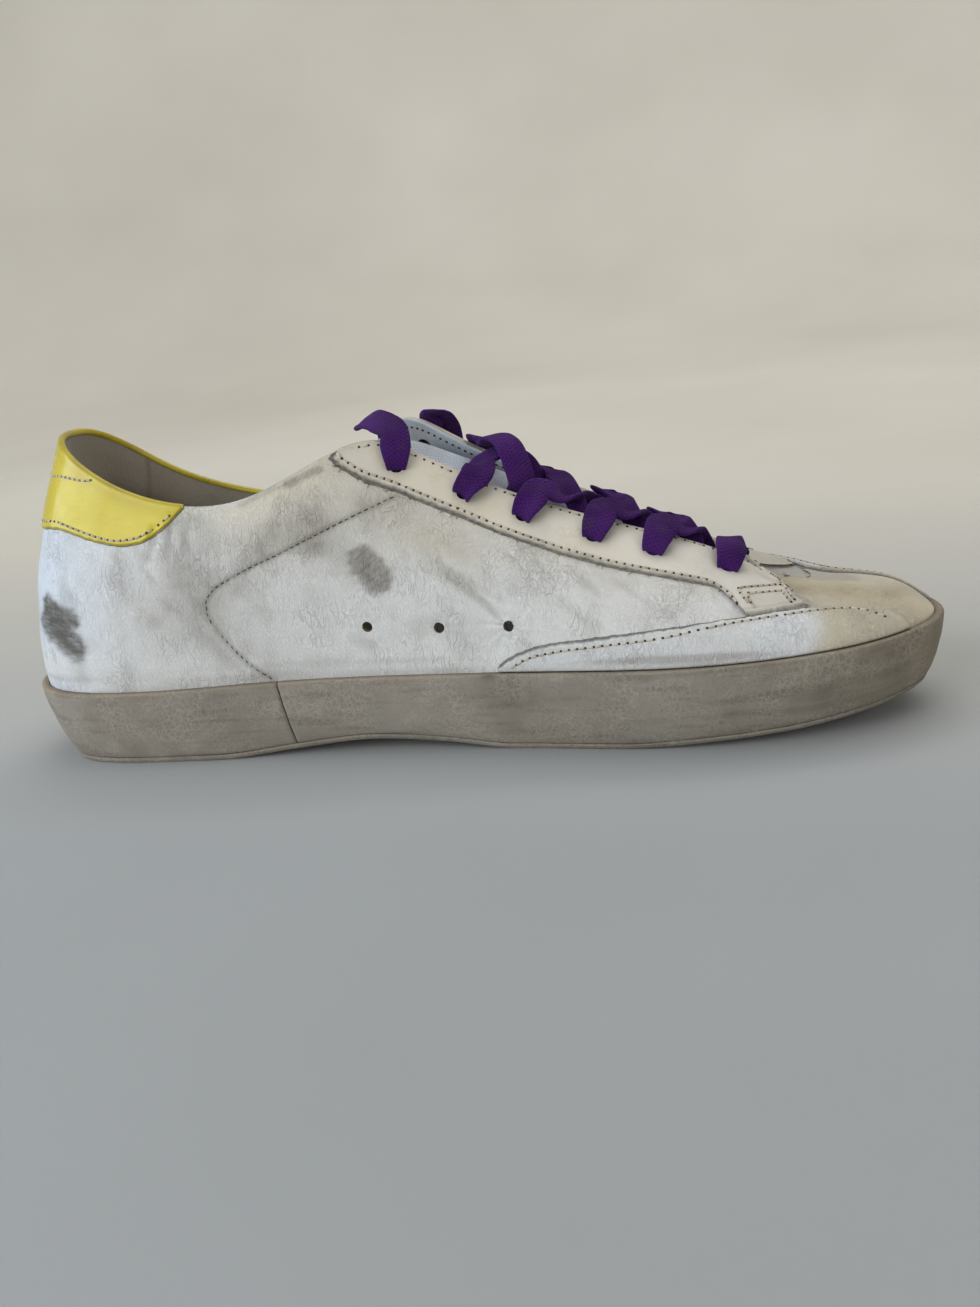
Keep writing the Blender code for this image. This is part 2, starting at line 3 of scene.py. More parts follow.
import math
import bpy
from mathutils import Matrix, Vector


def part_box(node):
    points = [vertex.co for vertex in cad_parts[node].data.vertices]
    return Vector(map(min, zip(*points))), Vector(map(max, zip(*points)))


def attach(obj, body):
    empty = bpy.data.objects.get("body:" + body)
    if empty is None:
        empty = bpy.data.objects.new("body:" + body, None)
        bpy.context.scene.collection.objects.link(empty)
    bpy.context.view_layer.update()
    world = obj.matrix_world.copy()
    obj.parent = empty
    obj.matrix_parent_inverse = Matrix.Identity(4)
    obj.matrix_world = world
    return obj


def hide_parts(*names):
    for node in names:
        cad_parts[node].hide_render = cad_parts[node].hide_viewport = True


bl_info = {
    "name": "Worn low sneaker",
    "version": (1, 0, 0),
    "blender": (4, 5, 0),
    "location": "3D View > Sidebar > Sneaker",
    "description": "Builds a worn leather sneaker with laces, seams and a rubber sole",
    "category": "Add Mesh",
}
import bpy
import numpy as np
from mathutils import Matrix, Vector

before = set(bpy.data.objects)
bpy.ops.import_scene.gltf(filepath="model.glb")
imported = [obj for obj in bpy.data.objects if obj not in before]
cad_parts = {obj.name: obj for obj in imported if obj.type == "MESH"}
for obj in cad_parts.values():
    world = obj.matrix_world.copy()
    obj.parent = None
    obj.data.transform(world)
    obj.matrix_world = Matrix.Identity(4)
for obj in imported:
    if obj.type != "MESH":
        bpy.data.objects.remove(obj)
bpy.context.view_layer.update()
MM = 0.001

# ------------------------------------------------------------------ the last
# Sizes in metres, the factors and angles of the last as shares and degrees.
SOLE_LENGTH, BALL_WIDTH = 0.292, 0.098
HEEL_HEIGHT, INSTEP_HEIGHT, SIDE_HEIGHT = 0.102, 0.094, 0.026
WALL, LAYER, SUNK, LEDGE, RIM = 0.0022, 0.0012, -0.0001, 0.0026, 0.0020
MARGIN, TUCK_POWER, SEAM_AT = 0.42, 2.2, 0.37


def table(names, rows):
    """Rows of numbers whose columns have names."""
    return np.array([tuple(row) for row in rows],
                    dtype=[(name, float) for name in names.split()])


LAST = table(
    "t foot_x foot_in foot_out edge_x edge_in edge_out top_in top_out flare low lean high tuck", [
        (0.00, .013, .000, .000, .079, .000, .000, 1.006, 1.006, 6, .36, 24, .30, .47),
        (0.05, .021, .153, .153, .086, .102, .102, 0.998, 0.992, 6, .36, 22, .30, .41),
        (0.10, .044, .255, .255, .106, .189, .189, 0.966, 0.937, 6, .36, 18, .30, .27),
        (0.17, .096, .321, .327, .147, .265, .265, 0.897, 0.833, 7, .36, 12, .30, .18),
        (0.27, .205, .337, .352, .223, .316, .316, 0.809, 0.732, 8, .34, 10, .30, .17),
        (0.37, .322, .321, .367, .312, .301, .306, 0.794, 0.706, 8, .34, 14, .30, .19),
        (0.46, .435, .321, .398, .394, .240, .245, 0.957, 0.888, 8, .34, 24, .30, .22),
        (0.52, .510, .337, .429, .445, .153, .153, 0.989, 1.011, 8, .34, 36, .32, .25),
        (0.58, .575, .357, .459, .498, .128, .128, 0.915, 0.947, 8, .32, 46, .34, .28),
        (0.67, .675, .398, .495, .582, .122, .122, 0.780, 0.805, 8, .30, 52, .36, .31),
        (0.76, .767, .413, .495, .675, .117, .117, 0.666, 0.665, 6, .26, 56, .37, .32),
        (0.84, .856, .372, .413, .750, .097, .097, 0.580, 0.559, 4, .21, 57, .36, .31),
        (0.90, .916, .300, .303, .791, .071, .061, 0.517, 0.493, 2, .16, 58, .32, .29),
        (0.95, .956, .205, .190, .808, .044, .022, 0.473, 0.464, 0, .12, 60, .30, .26),
        (1.00, .982, .035, .035, .813, .018, .018, 0.449, 0.449, -3, .11, 62, .28, .24),
    ])
GROUND = table("x lift", [
    (0.00, .000), (0.24, .000), (0.33, .008), (0.41, .014), (0.49, .009), (0.57, .000),
    (0.68, .000), (0.76, .005), (0.84, .011), (0.91, .019), (0.96, .027), (1.00, .035)])
SIDE_TOP = table("x height", [
    (0.00, 1.00), (0.05, 0.97), (0.15, 0.95), (0.23, 0.96), (0.32, .980), (0.50, .985),
    (0.67, 1.00), (0.80, 1.02), (0.90, 1.05), (0.96, 1.08), (1.00, 1.105)])
# Places on the upper: t along it, v from the ledge (0) to the edge (1).
HEEL_TAB = table("t low", [
    (0.000, .590), (0.040, .610), (0.080, .645), (0.120, .685), (0.173, .700),
    (0.210, .715), (0.245, .765), (0.270, .845), (0.292, .945), (0.302, .995)])
EYESTAY = table("low_t low_v mid_t mid_v high_t high_v", [
    (.470, .985, .472, .992, .474, 1.0), (.484, .905, .486, .950, .488, 1.0),
    (.515, .800, .515, .900, .515, 1.0), (.565, .760, .562, .880, .560, 1.0),
    (.610, .750, .607, .870, .604, 1.0), (.655, .722, .650, .860, .645, 1.0),
    (.705, .686, .698, .840, .690, 1.0), (.755, .652, .745, .825, .733, 1.0),
    (.800, .618, .787, .805, .770, 1.0), (.824, .595, .809, .795, .792, 1.0),
    (.830, .510, .818, .755, .802, 1.0), (.821, .345, .826, .690, .812, 1.0),
    (.842, .372, .846, .700, .838, 1.0), (.862, .400, .870, .705, .862, 1.0),
    (.886, .430, .897, .715, .888, 1.0), (.908, .605, .918, .795, .912, 1.0),
    (.935, .724, .942, .855, .938, 1.0), (.968, .816, .970, .905, .970, 1.0),
    (1.00, .872, 1.00, .935, 1.00, 1.0)])
# The outer side's front border bends back sooner: along the cut line and along the middle.
FRONT_OUTER = [(.845, .430, .862), (.850, .605, .868), (.862, .790, .885), (.890, .872, .915)]
MUDGUARD = table("t low high", [
    (0.566, .002, .014), (0.573, .002, .046), (0.593, .002, .097), (0.620, .002, .140),
    (0.655, .002, .172), (0.715, .002, .232), (0.775, .002, .302), (0.820, .002, .365),
    (0.878, .002, .430), (0.910, .002, .448), (0.932, .002, .425), (0.944, .002, .370),
    (0.949, .002, .290), (0.951, .002, .180)])
MUDGUARD_OUTER = np.concatenate([MUDGUARD[:7], table("t low high", [
    (0.820, .002, .360), (0.865, .002, .385), (0.895, .002, .360), (0.926, .002, .295),
    (0.946, .002, .258), (0.958, .002, .238), (0.967, .002, .206), (0.979, .002, .150),
    (0.984, .002, .070)])])
EYELETS = [(.545, .890), (.618, .885), (.677, .870), (.740, .850), (.792, .825), (.862, .790)]
ALL_EYELETS = EYELETS + [(2 - t, v) for t, v in EYELETS]
VENTS = [(.460, .230), (.522, .195), (.593, .220)]
EYESTAY_ROWS = 620
CUT_DEPTH = .005
# Forms of the upper that the solids don't have, in mm.
VAMP_SAG, TOE_LIFT, SEAM_GROOVE, VENT_DIMPLE = 4.4, 1.6, .22, .35
TAB_CUT = [.10, .095, .045]
# Where each pass of the lace crosses the inner side's edge, and where the far passes land.
EDGE_OUT = [.543, .634, .691, .752, .810, .890]
EDGE_IN = [None, .612, .672, .735, .787, .850]
QUARTER_SEAM = [(.365, .006), (.348, .100), (.335, .200), (.323, .310), (.315, .405), (.315, .465),
                (.325, .540), (.345, .590), (.372, .635), (.400, .655), (.425, .670), (.453, .680),
                (.480, .690), (.508, .710), (.540, .760)]


def periodic(knots, values, at):
    """Closed cubic spline of period 2 through values at the knots."""
    count = len(knots)
    step = np.diff(np.append(knots, knots[0] + 2.0))
    slope = (np.roll(values, -1) - values) / step
    matrix = np.zeros((count, count))
    index = np.arange(count)
    matrix[index, index] = 2 * (step + np.roll(step, 1))
    matrix[index, (index + 1) % count] += step
    matrix[index, (index - 1) % count] += np.roll(step, 1)
    bend = np.linalg.solve(matrix, 6 * (slope - np.roll(slope, 1)))
    at = np.mod(np.asarray(at, float) - knots[0], 2.0) + knots[0]
    j = np.clip(np.searchsorted(knots, at, side="right") - 1, 0, count - 1)
    s, h = at - knots[j], step[j]
    bend_next, next_value = np.roll(bend, -1)[j], np.roll(values, -1)[j]
    return (values[j] + s * ((next_value - values[j]) / h - h * (2 * bend[j] + bend_next) / 6)
            + s * s * bend[j] / 2 + s ** 3 * (bend_next - bend[j]) / (6 * h))


def around(at, inner, outer=None, signed=False, scale=1.0):
    """A column of LAST round the shoe: inner side to t = 1, outer side after."""
    t = LAST["t"]
    knots = np.append(t, (2 - t[1:-1])[::-1])
    scale = np.broadcast_to(scale, t.shape)
    values = np.append(LAST[inner] * scale, (LAST[outer or inner] * scale)[1:-1][::-1])
    if signed:
        values = values * np.where(knots <= 1, -1, 1)
    return periodic(knots, values, at)


def cubic(a, b, slope_a, slope_b, s):
    """Cubic from a to b with its slopes at both ends, at share s."""
    return (a * (2 * s ** 3 - 3 * s ** 2 + 1) + slope_a * (s ** 3 - 2 * s ** 2 + s)
            + b * (3 * s ** 2 - 2 * s ** 3) + slope_b * (s ** 3 - s ** 2))


def smooth(knots, values, at):
    """Cubic through the values, level wherever the table is level or turns."""
    knots, values = np.asarray(knots, float), np.asarray(values, float)
    step = np.diff(knots)
    rise = np.diff(values) / step
    slope = np.zeros(len(knots))
    same = rise[:-1] * rise[1:] > 0
    mean = (step[:-1] + step[1:])[same] * 3
    first, second = (2 * step[1:] + step[:-1])[same], (step[1:] + 2 * step[:-1])[same]
    slope[1:-1][same] = mean / (first / rise[:-1][same] + second / rise[1:][same])
    slope[0], slope[-1] = rise[0], rise[-1]
    at = np.asarray(at, float)
    j = np.clip(np.searchsorted(knots, at, side="right") - 1, 0, len(step) - 1)
    h = step[j]
    s = np.clip((at - knots[j]) / h, 0, 1)
    return cubic(values[j], values[j + 1], h * slope[j], h * slope[j + 1], s)


def ground(x):
    """Height of the ground line under the sole at x."""
    return smooth(GROUND["x"], GROUND["lift"], x / SOLE_LENGTH) * SOLE_LENGTH


def side_top(x):
    """Height of the side's top edge at x."""
    return smooth(SIDE_TOP["x"], SIDE_TOP["height"], x / SOLE_LENGTH) * SIDE_HEIGHT


def foot(at):
    """Foot line of the upper, in the last's own coordinates."""
    return (around(at, "foot_x") * SOLE_LENGTH,
            around(at, "foot_in", "foot_out", signed=True) * BALL_WIDTH)


def outward(at, step=1e-3):
    """Direction straight out from the foot line."""
    ax, ay = foot(at - step)
    bx, by = foot(at + step)
    length = np.hypot(bx - ax, by - ay)
    return (by - ay) / length, -(bx - ax) / length


def raw_side(at, s, out):
    """Side of the sole: the foot line moved out by out - tuck * s^2.2, s down it."""
    x, y = foot(at)
    nx, ny = outward(at)
    tuck = around(at, "tuck") * SIDE_HEIGHT
    low, high = ground(x + nx * (LEDGE - tuck)), side_top(x)
    reach = out - tuck * np.abs(s) ** TUCK_POWER
    return np.stack([x + nx * reach, y + ny * reach, high - s * (high - low)], -1)


def origin_of_solids():
    """The shift from the last's own coordinates to the frame, from the strip's box."""
    at = np.linspace(0, 2, 81)[:, None]
    ring = raw_side(at, np.array([0, .03, .21, .42, .62, .82])[None, :],
                    np.array([.8, 1, 1, 1, 1, 1])[None, :] * LEDGE).reshape(-1, 3)
    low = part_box("foxing")[0]
    return np.array([ring[:, 0].min() - low[0], ring[:, 1].min() - low[1], 0.0])


ORIGIN = origin_of_solids()


def side(at, s, out):
    """Side of the sole in the frame's coordinates."""
    return raw_side(at, s, out) - ORIGIN


def upper(at, v):
    """Outer face of the upper: a cubic from the ledge (v 0) to the edge (v 1)."""
    at, v = np.broadcast_arrays(np.asarray(at, float), np.asarray(v, float))
    x, y = foot(at)
    nx, ny = outward(at)
    tall = np.where(LAST["t"] < 0.4, HEEL_HEIGHT, INSTEP_HEIGHT)
    start = np.stack([x, y, side_top(x)], -1)
    end = np.stack([around(at, "edge_x") * SOLE_LENGTH,
                    around(at, "edge_in", "edge_out", signed=True) * BALL_WIDTH,
                    around(at, "top_in", "top_out", scale=tall)], -1)
    span = np.linalg.norm(end - start, axis=-1)[..., None]
    out = np.stack([nx, ny, 0 * nx], -1)
    up = np.array([0.0, 0.0, 1.0])
    flare, lean = np.radians(around(at, "flare"))[..., None], np.radians(around(at, "lean"))[..., None]
    first = start + around(at, "low")[..., None] * span * (up * np.cos(flare) + out * np.sin(flare))
    second = end - around(at, "high")[..., None] * span * (up * np.cos(lean) - out * np.sin(lean))
    s = np.maximum(v, 0)[..., None]
    wall = (start * (1 - s) ** 3 + 3 * first * s * (1 - s) ** 2
            + 3 * second * s * s * (1 - s) + end * s ** 3)
    margin = raw_side(at, np.maximum(-v, 0) * MARGIN, 0.0)
    return np.where((v < 0)[..., None], margin, wall) - ORIGIN


def unit(vectors):
    """Vectors scaled to length 1."""
    return vectors / np.maximum(np.linalg.norm(vectors, axis=-1), 1e-12)[..., None]


def normal(at, v, step=4e-3):
    """Direction straight out of the upper."""
    along = upper(at + step, v) - upper(at - step, v)
    rise = upper(at, v + step * 3) - upper(at, v - step * 3)
    return unit(np.cross(along, rise))


def off(at, v, distance):
    """Points at a distance off the plain upper."""
    return upper(at, v) + normal(at, v) * np.asarray(distance)[..., None]


# ------------------------------------------------------------------ noise and relief
def waves(p, seed, size):
    """Smooth noise, about -1 to 1: a sum of twelve turned sine waves of one size."""
    rng = np.random.default_rng(seed)
    ways = unit(rng.normal(size=(12, 3))) * (2 * np.pi / size) * rng.uniform(.6, 1.5, (12, 1))
    phase = rng.uniform(0, 2 * np.pi, 12)
    return np.sin(p @ ways.T + phase).sum(-1) / 4.2


# Creases: from (t, v) to (t, v), half width and depth in mm; a minus
# depth is a ridge. Inner side first, then the outer side (t above 1).
CREASES = table("t0 v0 t1 v1 width depth", [
    (.552, .50, .592, .25, 1.6, .75), (.575, .46, .600, .33, 1.3, .45),
    (.535, .47, .560, .40, 2.0, .40), (.610, .50, .604, .30, 1.6, .40),
    (.262, .86, .252, .66, 1.0, .55), (.282, .90, .277, .70, 0.9, .50),
    (.300, .88, .300, .74, 0.9, .40), (.244, .66, .262, .56, 1.2, .35),
    (.640, .66, .650, .48, 1.2, .35), (.668, .64, .674, .50, 1.0, .35),
    (.700, .62, .706, .44, 1.1, .35), (.655, .40, .680, .22, 1.8, .30),
    (.735, .58, .748, .42, 1.2, .30), (.770, .52, .776, .36, 1.2, .25),
    (.410, .64, .455, .60, 2.2, .40), (.380, .50, .350, .30, 2.4, .35),
    (.215, .45, .235, .22, 2.6, .40), (.130, .55, .150, .30, 3.0, .35),
    (.420, .90, .400, .72, 1.8, .40), (.455, .88, .470, .78, 1.2, .30),
    (.900, .62, .912, .48, 1.6, .40), (.905, .85, .935, .60, 1.8, .30),
    (.945, .70, .985, .62, 1.8, .35), (.955, .52, 1.02, .46, 2.0, .30),
    (1.345, .62, 1.352, .34, 1.8, .60), (1.385, .60, 1.392, .30, 1.8, .60),
    (1.315, .58, 1.320, .36, 1.4, .45), (1.430, .50, 1.445, .24, 2.2, .50),
    (1.270, .56, 1.262, .36, 1.4, .40), (1.225, .50, 1.215, .30, 1.4, .35),
    (1.735, .86, 1.742, .64, 1.2, .50), (1.712, .88, 1.708, .70, 1.0, .40),
    (1.600, .60, 1.650, .50, 2.4, .45), (1.780, .45, 1.765, .20, 2.8, .40),
    (1.560, .84, 1.585, .70, 1.6, .40), (1.110, .66, 1.085, .46, 1.8, .35),
    (1.070, .70, 1.030, .60, 1.8, .35), (1.480, .40, 1.500, .18, 2.4, .40),
])


def near_line(p, a, b):
    """Distance from p to the segment from a to b, and the share along it."""
    way = b - a
    s = np.clip(((p - a) @ way) / (way @ way), 0, 1)
    return np.linalg.norm(p - a - s[..., None] * way, axis=-1), s


def relief(at, v, p=None):
    """Height of folds, dents and lumps over the plain upper, in metres."""
    at, v = np.broadcast_arrays(np.asarray(at, float), np.asarray(v, float))
    p = upper(at, v) if p is None else p
    fade = np.clip(np.minimum(np.asarray(v) / .10, (1.02 - np.asarray(v)) / .10), 0, 1)
    total = (waves(p, 3, .055) * .35 + waves(p, 4, .024) * .16 + waves(p, 5, .011) * .05) * MM
    ends = upper(np.stack([CREASES["t0"], CREASES["t1"]]), np.stack([CREASES["v0"], CREASES["v1"]]))
    for a, b, row in zip(ends[0], ends[1], CREASES):
        distance, s = near_line(p, a, b)
        distance = distance * (1 + .35 * waves(p, 11, .012))
        trough = np.exp(-(distance / (row["width"] * MM)) ** 2)
        banks = np.exp(-((distance - 2.2 * row["width"] * MM) / (1.3 * row["width"] * MM)) ** 2)
        total = total + (banks * .35 - trough) * row["depth"] * MM * np.sqrt(4 * s * (1 - s) + .02)
    for k, (t, w) in enumerate(VENTS):
        c, n = upper(t, w), normal(t, w)
        east = unit(np.cross([0, 0, 1.0], n))
        r = np.linalg.norm(p - c, axis=-1)
        turn = np.arctan2((p - c)[..., 2], (p - c) @ east)
        rays = np.cos(11 * turn + k) + .6 * np.cos(17 * turn + 2 * k)
        strong = (.08, .12, .30)[k] * MM
        total = total + (rays * strong * np.exp(-(r / (5.5 * MM)) ** 1.5)
                         - VENT_DIMPLE * MM * np.exp(-(r / (2.6 * MM)) ** 2))
    window = 1 / (1 + np.exp(-(v - .40) * 26)) / (1 + np.exp((v - .93) * 60))
    total = total - VAMP_SAG * MM * np.exp(-((at - 1.102) / .050) ** 2) * window
    total = total + TOE_LIFT * MM * np.exp(-((at - 1.022) / .055) ** 2 - ((v - .27) / .11) ** 2)
    seam_t, seam_v = np.array(QUARTER_SEAM).T
    for line in (upper(seam_t, seam_v), upper(2 - seam_t, seam_v)):
        for a, b in zip(line[:-1], line[1:]):
            distance, s = near_line(p, a, b)
            groove = SEAM_GROOVE * MM * np.exp(-(distance / (.7 * MM)) ** 2)
            total = total - groove * np.where((s > 0) & (s < 1), 1, .5)
    return total * fade


def skin(at, v, height=0.0):
    """The folded upper's outer face, height metres above it."""
    at, v = np.broadcast_arrays(np.asarray(at, float), np.asarray(v, float))
    return off(at, v, relief(at, v) + height)


# ------------------------------------------------------------------ meshes
def placed(name, data):
    """A new object of the scene that shows data."""
    thing = bpy.data.objects.new(name, data)
    bpy.context.scene.collection.objects.link(thing)
    return thing


def quads(rows, columns, start=0):
    """Corner numbers of the faces of a grid of points."""
    i, j = np.meshgrid(np.arange(rows - 1), np.arange(columns - 1), indexing="ij")
    a = (i * columns + j).ravel() + start
    return np.stack([a, a + columns, a + columns + 1, a + 1], -1)


def piece(name, grids, materials, replaced=(), tones=None, uv=None, parts=None):
    """A mesh from grids of points that share their borders; tones are colours, point by point."""
    points = flat_list(grids)
    faces, index, start = [], [], 0
    for k, g in enumerate(grids):
        q = quads(g.shape[0], g.shape[1], start)
        faces.append(q)
        index.append(np.full(len(q), 0 if parts is None else parts[k]))
        start += g.shape[0] * g.shape[1]
    faces, index = np.concatenate(faces), np.concatenate(index)
    _, first, same = np.unique(np.round(points / 1e-6), axis=0, return_index=True, return_inverse=True)
    same = same.ravel()
    welded = same[faces]
    corners = (welded != np.roll(welded, 1, axis=1)).sum(1)
    four, three = corners == 4, corners == 3
    keep = welded[three] != np.roll(welded[three], 1, axis=1)
    polygons = welded[four].tolist() + welded[three][keep].reshape(-1, 3).tolist()
    source = np.concatenate([faces[four].ravel(), faces[three][keep]])
    index = np.append(index[four], index[three])
    mesh = bpy.data.meshes.new(name)
    mesh.from_pydata(points[first], [], polygons)
    for material in materials:
        mesh.materials.append(material)
    mesh.polygons.foreach_set("material_index", index.astype(np.int32))
    if tones is not None:
        colour = np.concatenate([np.asarray(tones)[source], np.ones((len(source), 1))], 1)
        made = mesh.color_attributes.new(name="Tone", type="FLOAT_COLOR", domain="CORNER")
        made.data.foreach_set("color", colour.ravel().astype(np.float32))
    if uv is not None:
        mesh.uv_layers.new(name="UVMap").data.foreach_set(
            "uv", np.asarray(uv)[source].ravel().astype(np.float32))
    mesh.shade_smooth()
    turn_outwards(mesh)
    thing = placed(name, mesh)
    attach(thing, "root")
    if replaced:
        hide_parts(*replaced)
    return thing


def turn_outwards(mesh):
    """Flips a closed mesh whose faces point inwards, by the sign of its volume."""
    count = len(mesh.loops)
    corner = np.empty(count, np.int32)
    mesh.loops.foreach_get("vertex_index", corner)
    start = np.empty(len(mesh.polygons), np.int32)
    total = np.empty(len(mesh.polygons), np.int32)
    mesh.polygons.foreach_get("loop_start", start)
    mesh.polygons.foreach_get("loop_total", total)
    place = np.empty(len(mesh.vertices) * 3)
    mesh.vertices.foreach_get("co", place)
    place = place.reshape(-1, 3)
    a, b, c = (place[corner[start + k]] for k in range(3))
    d = place[corner[start + total - 1]]
    volume = (a * np.cross(b, c)).sum() + (a * np.cross(c, d)).sum()
    if volume < 0:
        mesh.flip_normals()


def spread(count, power=.75):
    """Steps from 0 to 1, closer together at both ends."""
    s = np.linspace(-1, 1, count)
    return (np.sign(s) * (1 - (1 - np.abs(s)) ** (1 / power)) + 1) / 2


def lengths(points, axis):
    """Running length along one axis of a grid of points."""
    step = np.linalg.norm(np.diff(points, axis=axis), axis=-1)
    total = np.cumsum(step, axis=axis)
    return np.concatenate([np.zeros_like(np.take(total, [0], axis)), total], axis)


def arc_up(x):
    """Quarter round: 0 at 0, 1 from 1 on."""
    return np.sqrt(1 - (1 - np.clip(x, 0, 1)) ** 2)


def slab(at, v, thickness, low=0.0, raw=.0011, seed=0, ends=True, top_open=False):
    """A leather layer on the upper: outer and inner face, and what is left of its raw border.

    Within raw of a cut edge the layer is a thin frayed strip; past it the height rises to
    thickness in a quarter round, and it falls again to nothing at the edge of the throat."""
    flat = upper(at, v)
    across, along = lengths(flat, 1), lengths(flat, 0)
    d = across
    if ends:
        d = np.minimum.reduce([across, along, along[-1:] - along])
    border = raw * (1 + .20 * waves(flat, seed, .012) + .16 * waves(flat, seed + 1, .0022))
    strip = .00052
    height = strip * arc_up(d / .0003) + (thickness - strip) * arc_up((d - border) / .00038)
    height = height + .00008 * waves(flat, seed + 2, .0009) * ((d > .0001) & (d < border))
    if not top_open:
        height = height * arc_up((across[:, -1:] - across) / .0007)
    lift = relief(at, v, flat)
    n = normal(at, v)
    outer = flat + n * (np.maximum(height, 0) + low + lift)[..., None]
    inner = flat + n * (low + lift)[..., None]
    return outer, inner, d - border


# ------------------------------------------------------------------ sizes and colours
def measures():
    """The sizes of the panel."""
    return bpy.context.scene.sneaker_sizes


def tints(*names):
    """Colours of the panel by name, without their fourth value."""
    return [np.array(getattr(bpy.context.scene.sneaker_looks, name)[:3]) for name in names]


def along_inner(at):
    """Place along the shoe, the same on both sides."""
    return np.abs(np.where(at > 1, 2 - at, at))


def flat_list(grids):
    """The values of several grids as one list of triples."""
    return np.concatenate([g.reshape(-1, 3) for g in grids])


def blend(a, b, s):
    """Colour a for s = 0, b for s = 1."""
    s = np.clip(s, 0, 1)[..., None]
    return np.asarray(a) * (1 - s) + np.asarray(b) * s


def smear(p, a, b, width, seed, ragged=.30, soft=5.0):
    """1 along the line from place a to place b, 0 past its width, with a ragged border."""
    r, _ = near_line(p, upper(*a), upper(*b))
    r = (r / width + ragged * waves(p * np.array([.5, .5, 2.2]), seed, .006)
         + ragged * .5 * waves(p, seed + 1, .002))
    return 1 / (1 + np.exp((r - 1) * soft))


# Rubbed marks: places (t, v) from and to, half width in mm, strength, share of black, edge.
MARKS = [
    ((.479, .505), (.4855, .425), 4.7, .93, .50, 12), ((.112, .362), (.158, .318), 3.2, .98, .88, 7),
    ((.106, .285), (.165, .218), 3.6, .98, .88, 7), ((.112, .330), (.146, .262), 3.2, .90, .84, 6),
    ((.118, .240), (.168, .165), 2.4, .80, .75, 5), ((.425, .968), (.459, .958), 1.4, .66, .30, 7),
    ((.370, .976), (.432, .974), .75, .45, .25, 6), ((.465, .60), (.520, .66), 4.0, .22, .10, 3),
    ((.60, .42), (.66, .50), 4.5, .20, .10, 3), ((.33, .44), (.30, .60), 5.0, .30, .10, 3),
    ((.24, .40), (.30, .33), 6.0, .18, .10, 2), ((.37, .72), (.45, .78), 4.0, .38, .10, 3),
    ((1.44, .44), (1.40, .36), 6.0, .45, .45, 6), ((1.62, .30), (1.70, .24), 3.0, .35, .35, 4),
    ((1.84, .34), (1.80, .26), 3.5, .55, .60, 5), ((1.25, .40), (1.20, .30), 3.0, .30, .30, 4),
]


def leather_tone(at, v, p):
    """Colour of the worn leather: cool white at the heel and low down, beige above, with dirt."""
    white, cream, dirt = tints("leather", "cream", "dirt")
    t = along_inner(at)
    # bluish white of painted light, for the heel
    bluish_light_white = np.minimum(white * np.array([.93, 1.03, 1.19]), .96)
    grey = white * np.array([.80, .785, .755])
    wide, mid, small = waves(p, 21, .060), waves(p, 22, .022), waves(p, 23, .009)
    tone = blend(white, cream, np.clip((v - .50) * 2.0, 0, .95) * np.clip((t - .22) * 7, 0, 1) + .10 * wide)
    # painted light: the heel's white tinted bluish, as if lit by a blue lamp
    tone = blend(tone, bluish_light_white, np.clip((.25 - t) * 7, 0, 1) * .95)
    tone = blend(tone, grey, np.clip(.42 * np.exp(-((t - .27) / .075) ** 2)
                                     + .34 * np.exp(-((t - .47) / .17) ** 2) * np.exp(-((v - .52) / .30) ** 2)
                                     + .16 * wide + .12 * mid, 0, .8))
    # painted light: a brighter white band low down, from the heel to near the toe
    tone = blend(tone, white * 1.05, np.exp(-((v - .10) / .10) ** 2) * np.clip((.90 - t) * 8, 0, 1) * .75)
    along_seam = np.full(t.shape, 1.0)
    line = upper(*np.array(QUARTER_SEAM).T)
    side_line = upper(2 - np.array(QUARTER_SEAM)[:, 0], np.array(QUARTER_SEAM)[:, 1])
    for a, b, c, d in zip(line[:-1], line[1:], side_line[:-1], side_line[1:]):
        along_seam = np.minimum(along_seam, near_line(p, a, b)[0])
        along_seam = np.minimum(along_seam, near_line(p, c, d)[0])
    near_seam = np.exp(-(along_seam / .007) ** 2) * (.30 + .22 * mid + .15 * small)
    tone = blend(tone, dirt * np.array([1.0, .97, .93]), np.clip(near_seam, 0, .6))
    tone = blend(tone, dirt * .5, np.exp(-(along_seam / .0009) ** 2) * .55)
    streak = waves(p * np.array([.22, .22, 4.5]), 24, .018)
    low = np.exp(-((v - .035) / .055) ** 2) * np.clip(.28 + .5 * streak, 0, 1)
    tone = blend(tone, dirt * .9, low * .42)
    cloud = np.clip(mid * .6 + small * .5 - .25, 0, 1)
    tone = blend(tone, dirt, cloud * (.22 + .20 * np.exp(-((t - .24) / .10) ** 2)))
    # painted shade: darker where the relief sinks, in creases, seam grooves, vent dimples and the sagging
    # vamp
    folds = np.clip(-relief(at, v, p) / (.50 * MM) - .25, 0, 1)
    tone = blend(tone, dirt * .8, folds * .42)
    for a, b, width, strength, black, soft in MARKS:
        near = np.abs(p - (upper(*a) + upper(*b)) / 2).max(-1) < .035
        if near.any():
            mark = smear(p[near], a, b, width * MM, int(a[0] * 1000), .08 if soft > 8 else .22, soft)
            grain = np.clip(.86 + .22 * waves(p[near] * np.array([1, 1, 3]), 29, .0025), 0, 1)
            tone[near] = blend(tone[near], dirt * (1 - .85 * black), mark * strength * grain)
    back = np.exp(-(t / .0035) ** 2) * (v < .62)
    tone = blend(tone, dirt * .3, back * .8)
    beige = np.exp(-((t - .555) / .07) ** 2 - ((v - .60) / .17) ** 2)
    tone = blend(tone, blend(cream, dirt, .35), beige * (.55 + .25 * mid))
    toe = np.clip((t - .86) * 9, 0, 1)
    tone = blend(tone, blend(cream, dirt, .34 + .20 * mid) * [1, .96, .84], toe * (.80 + .2 * wide))
    return np.clip(tone, 0, 1)


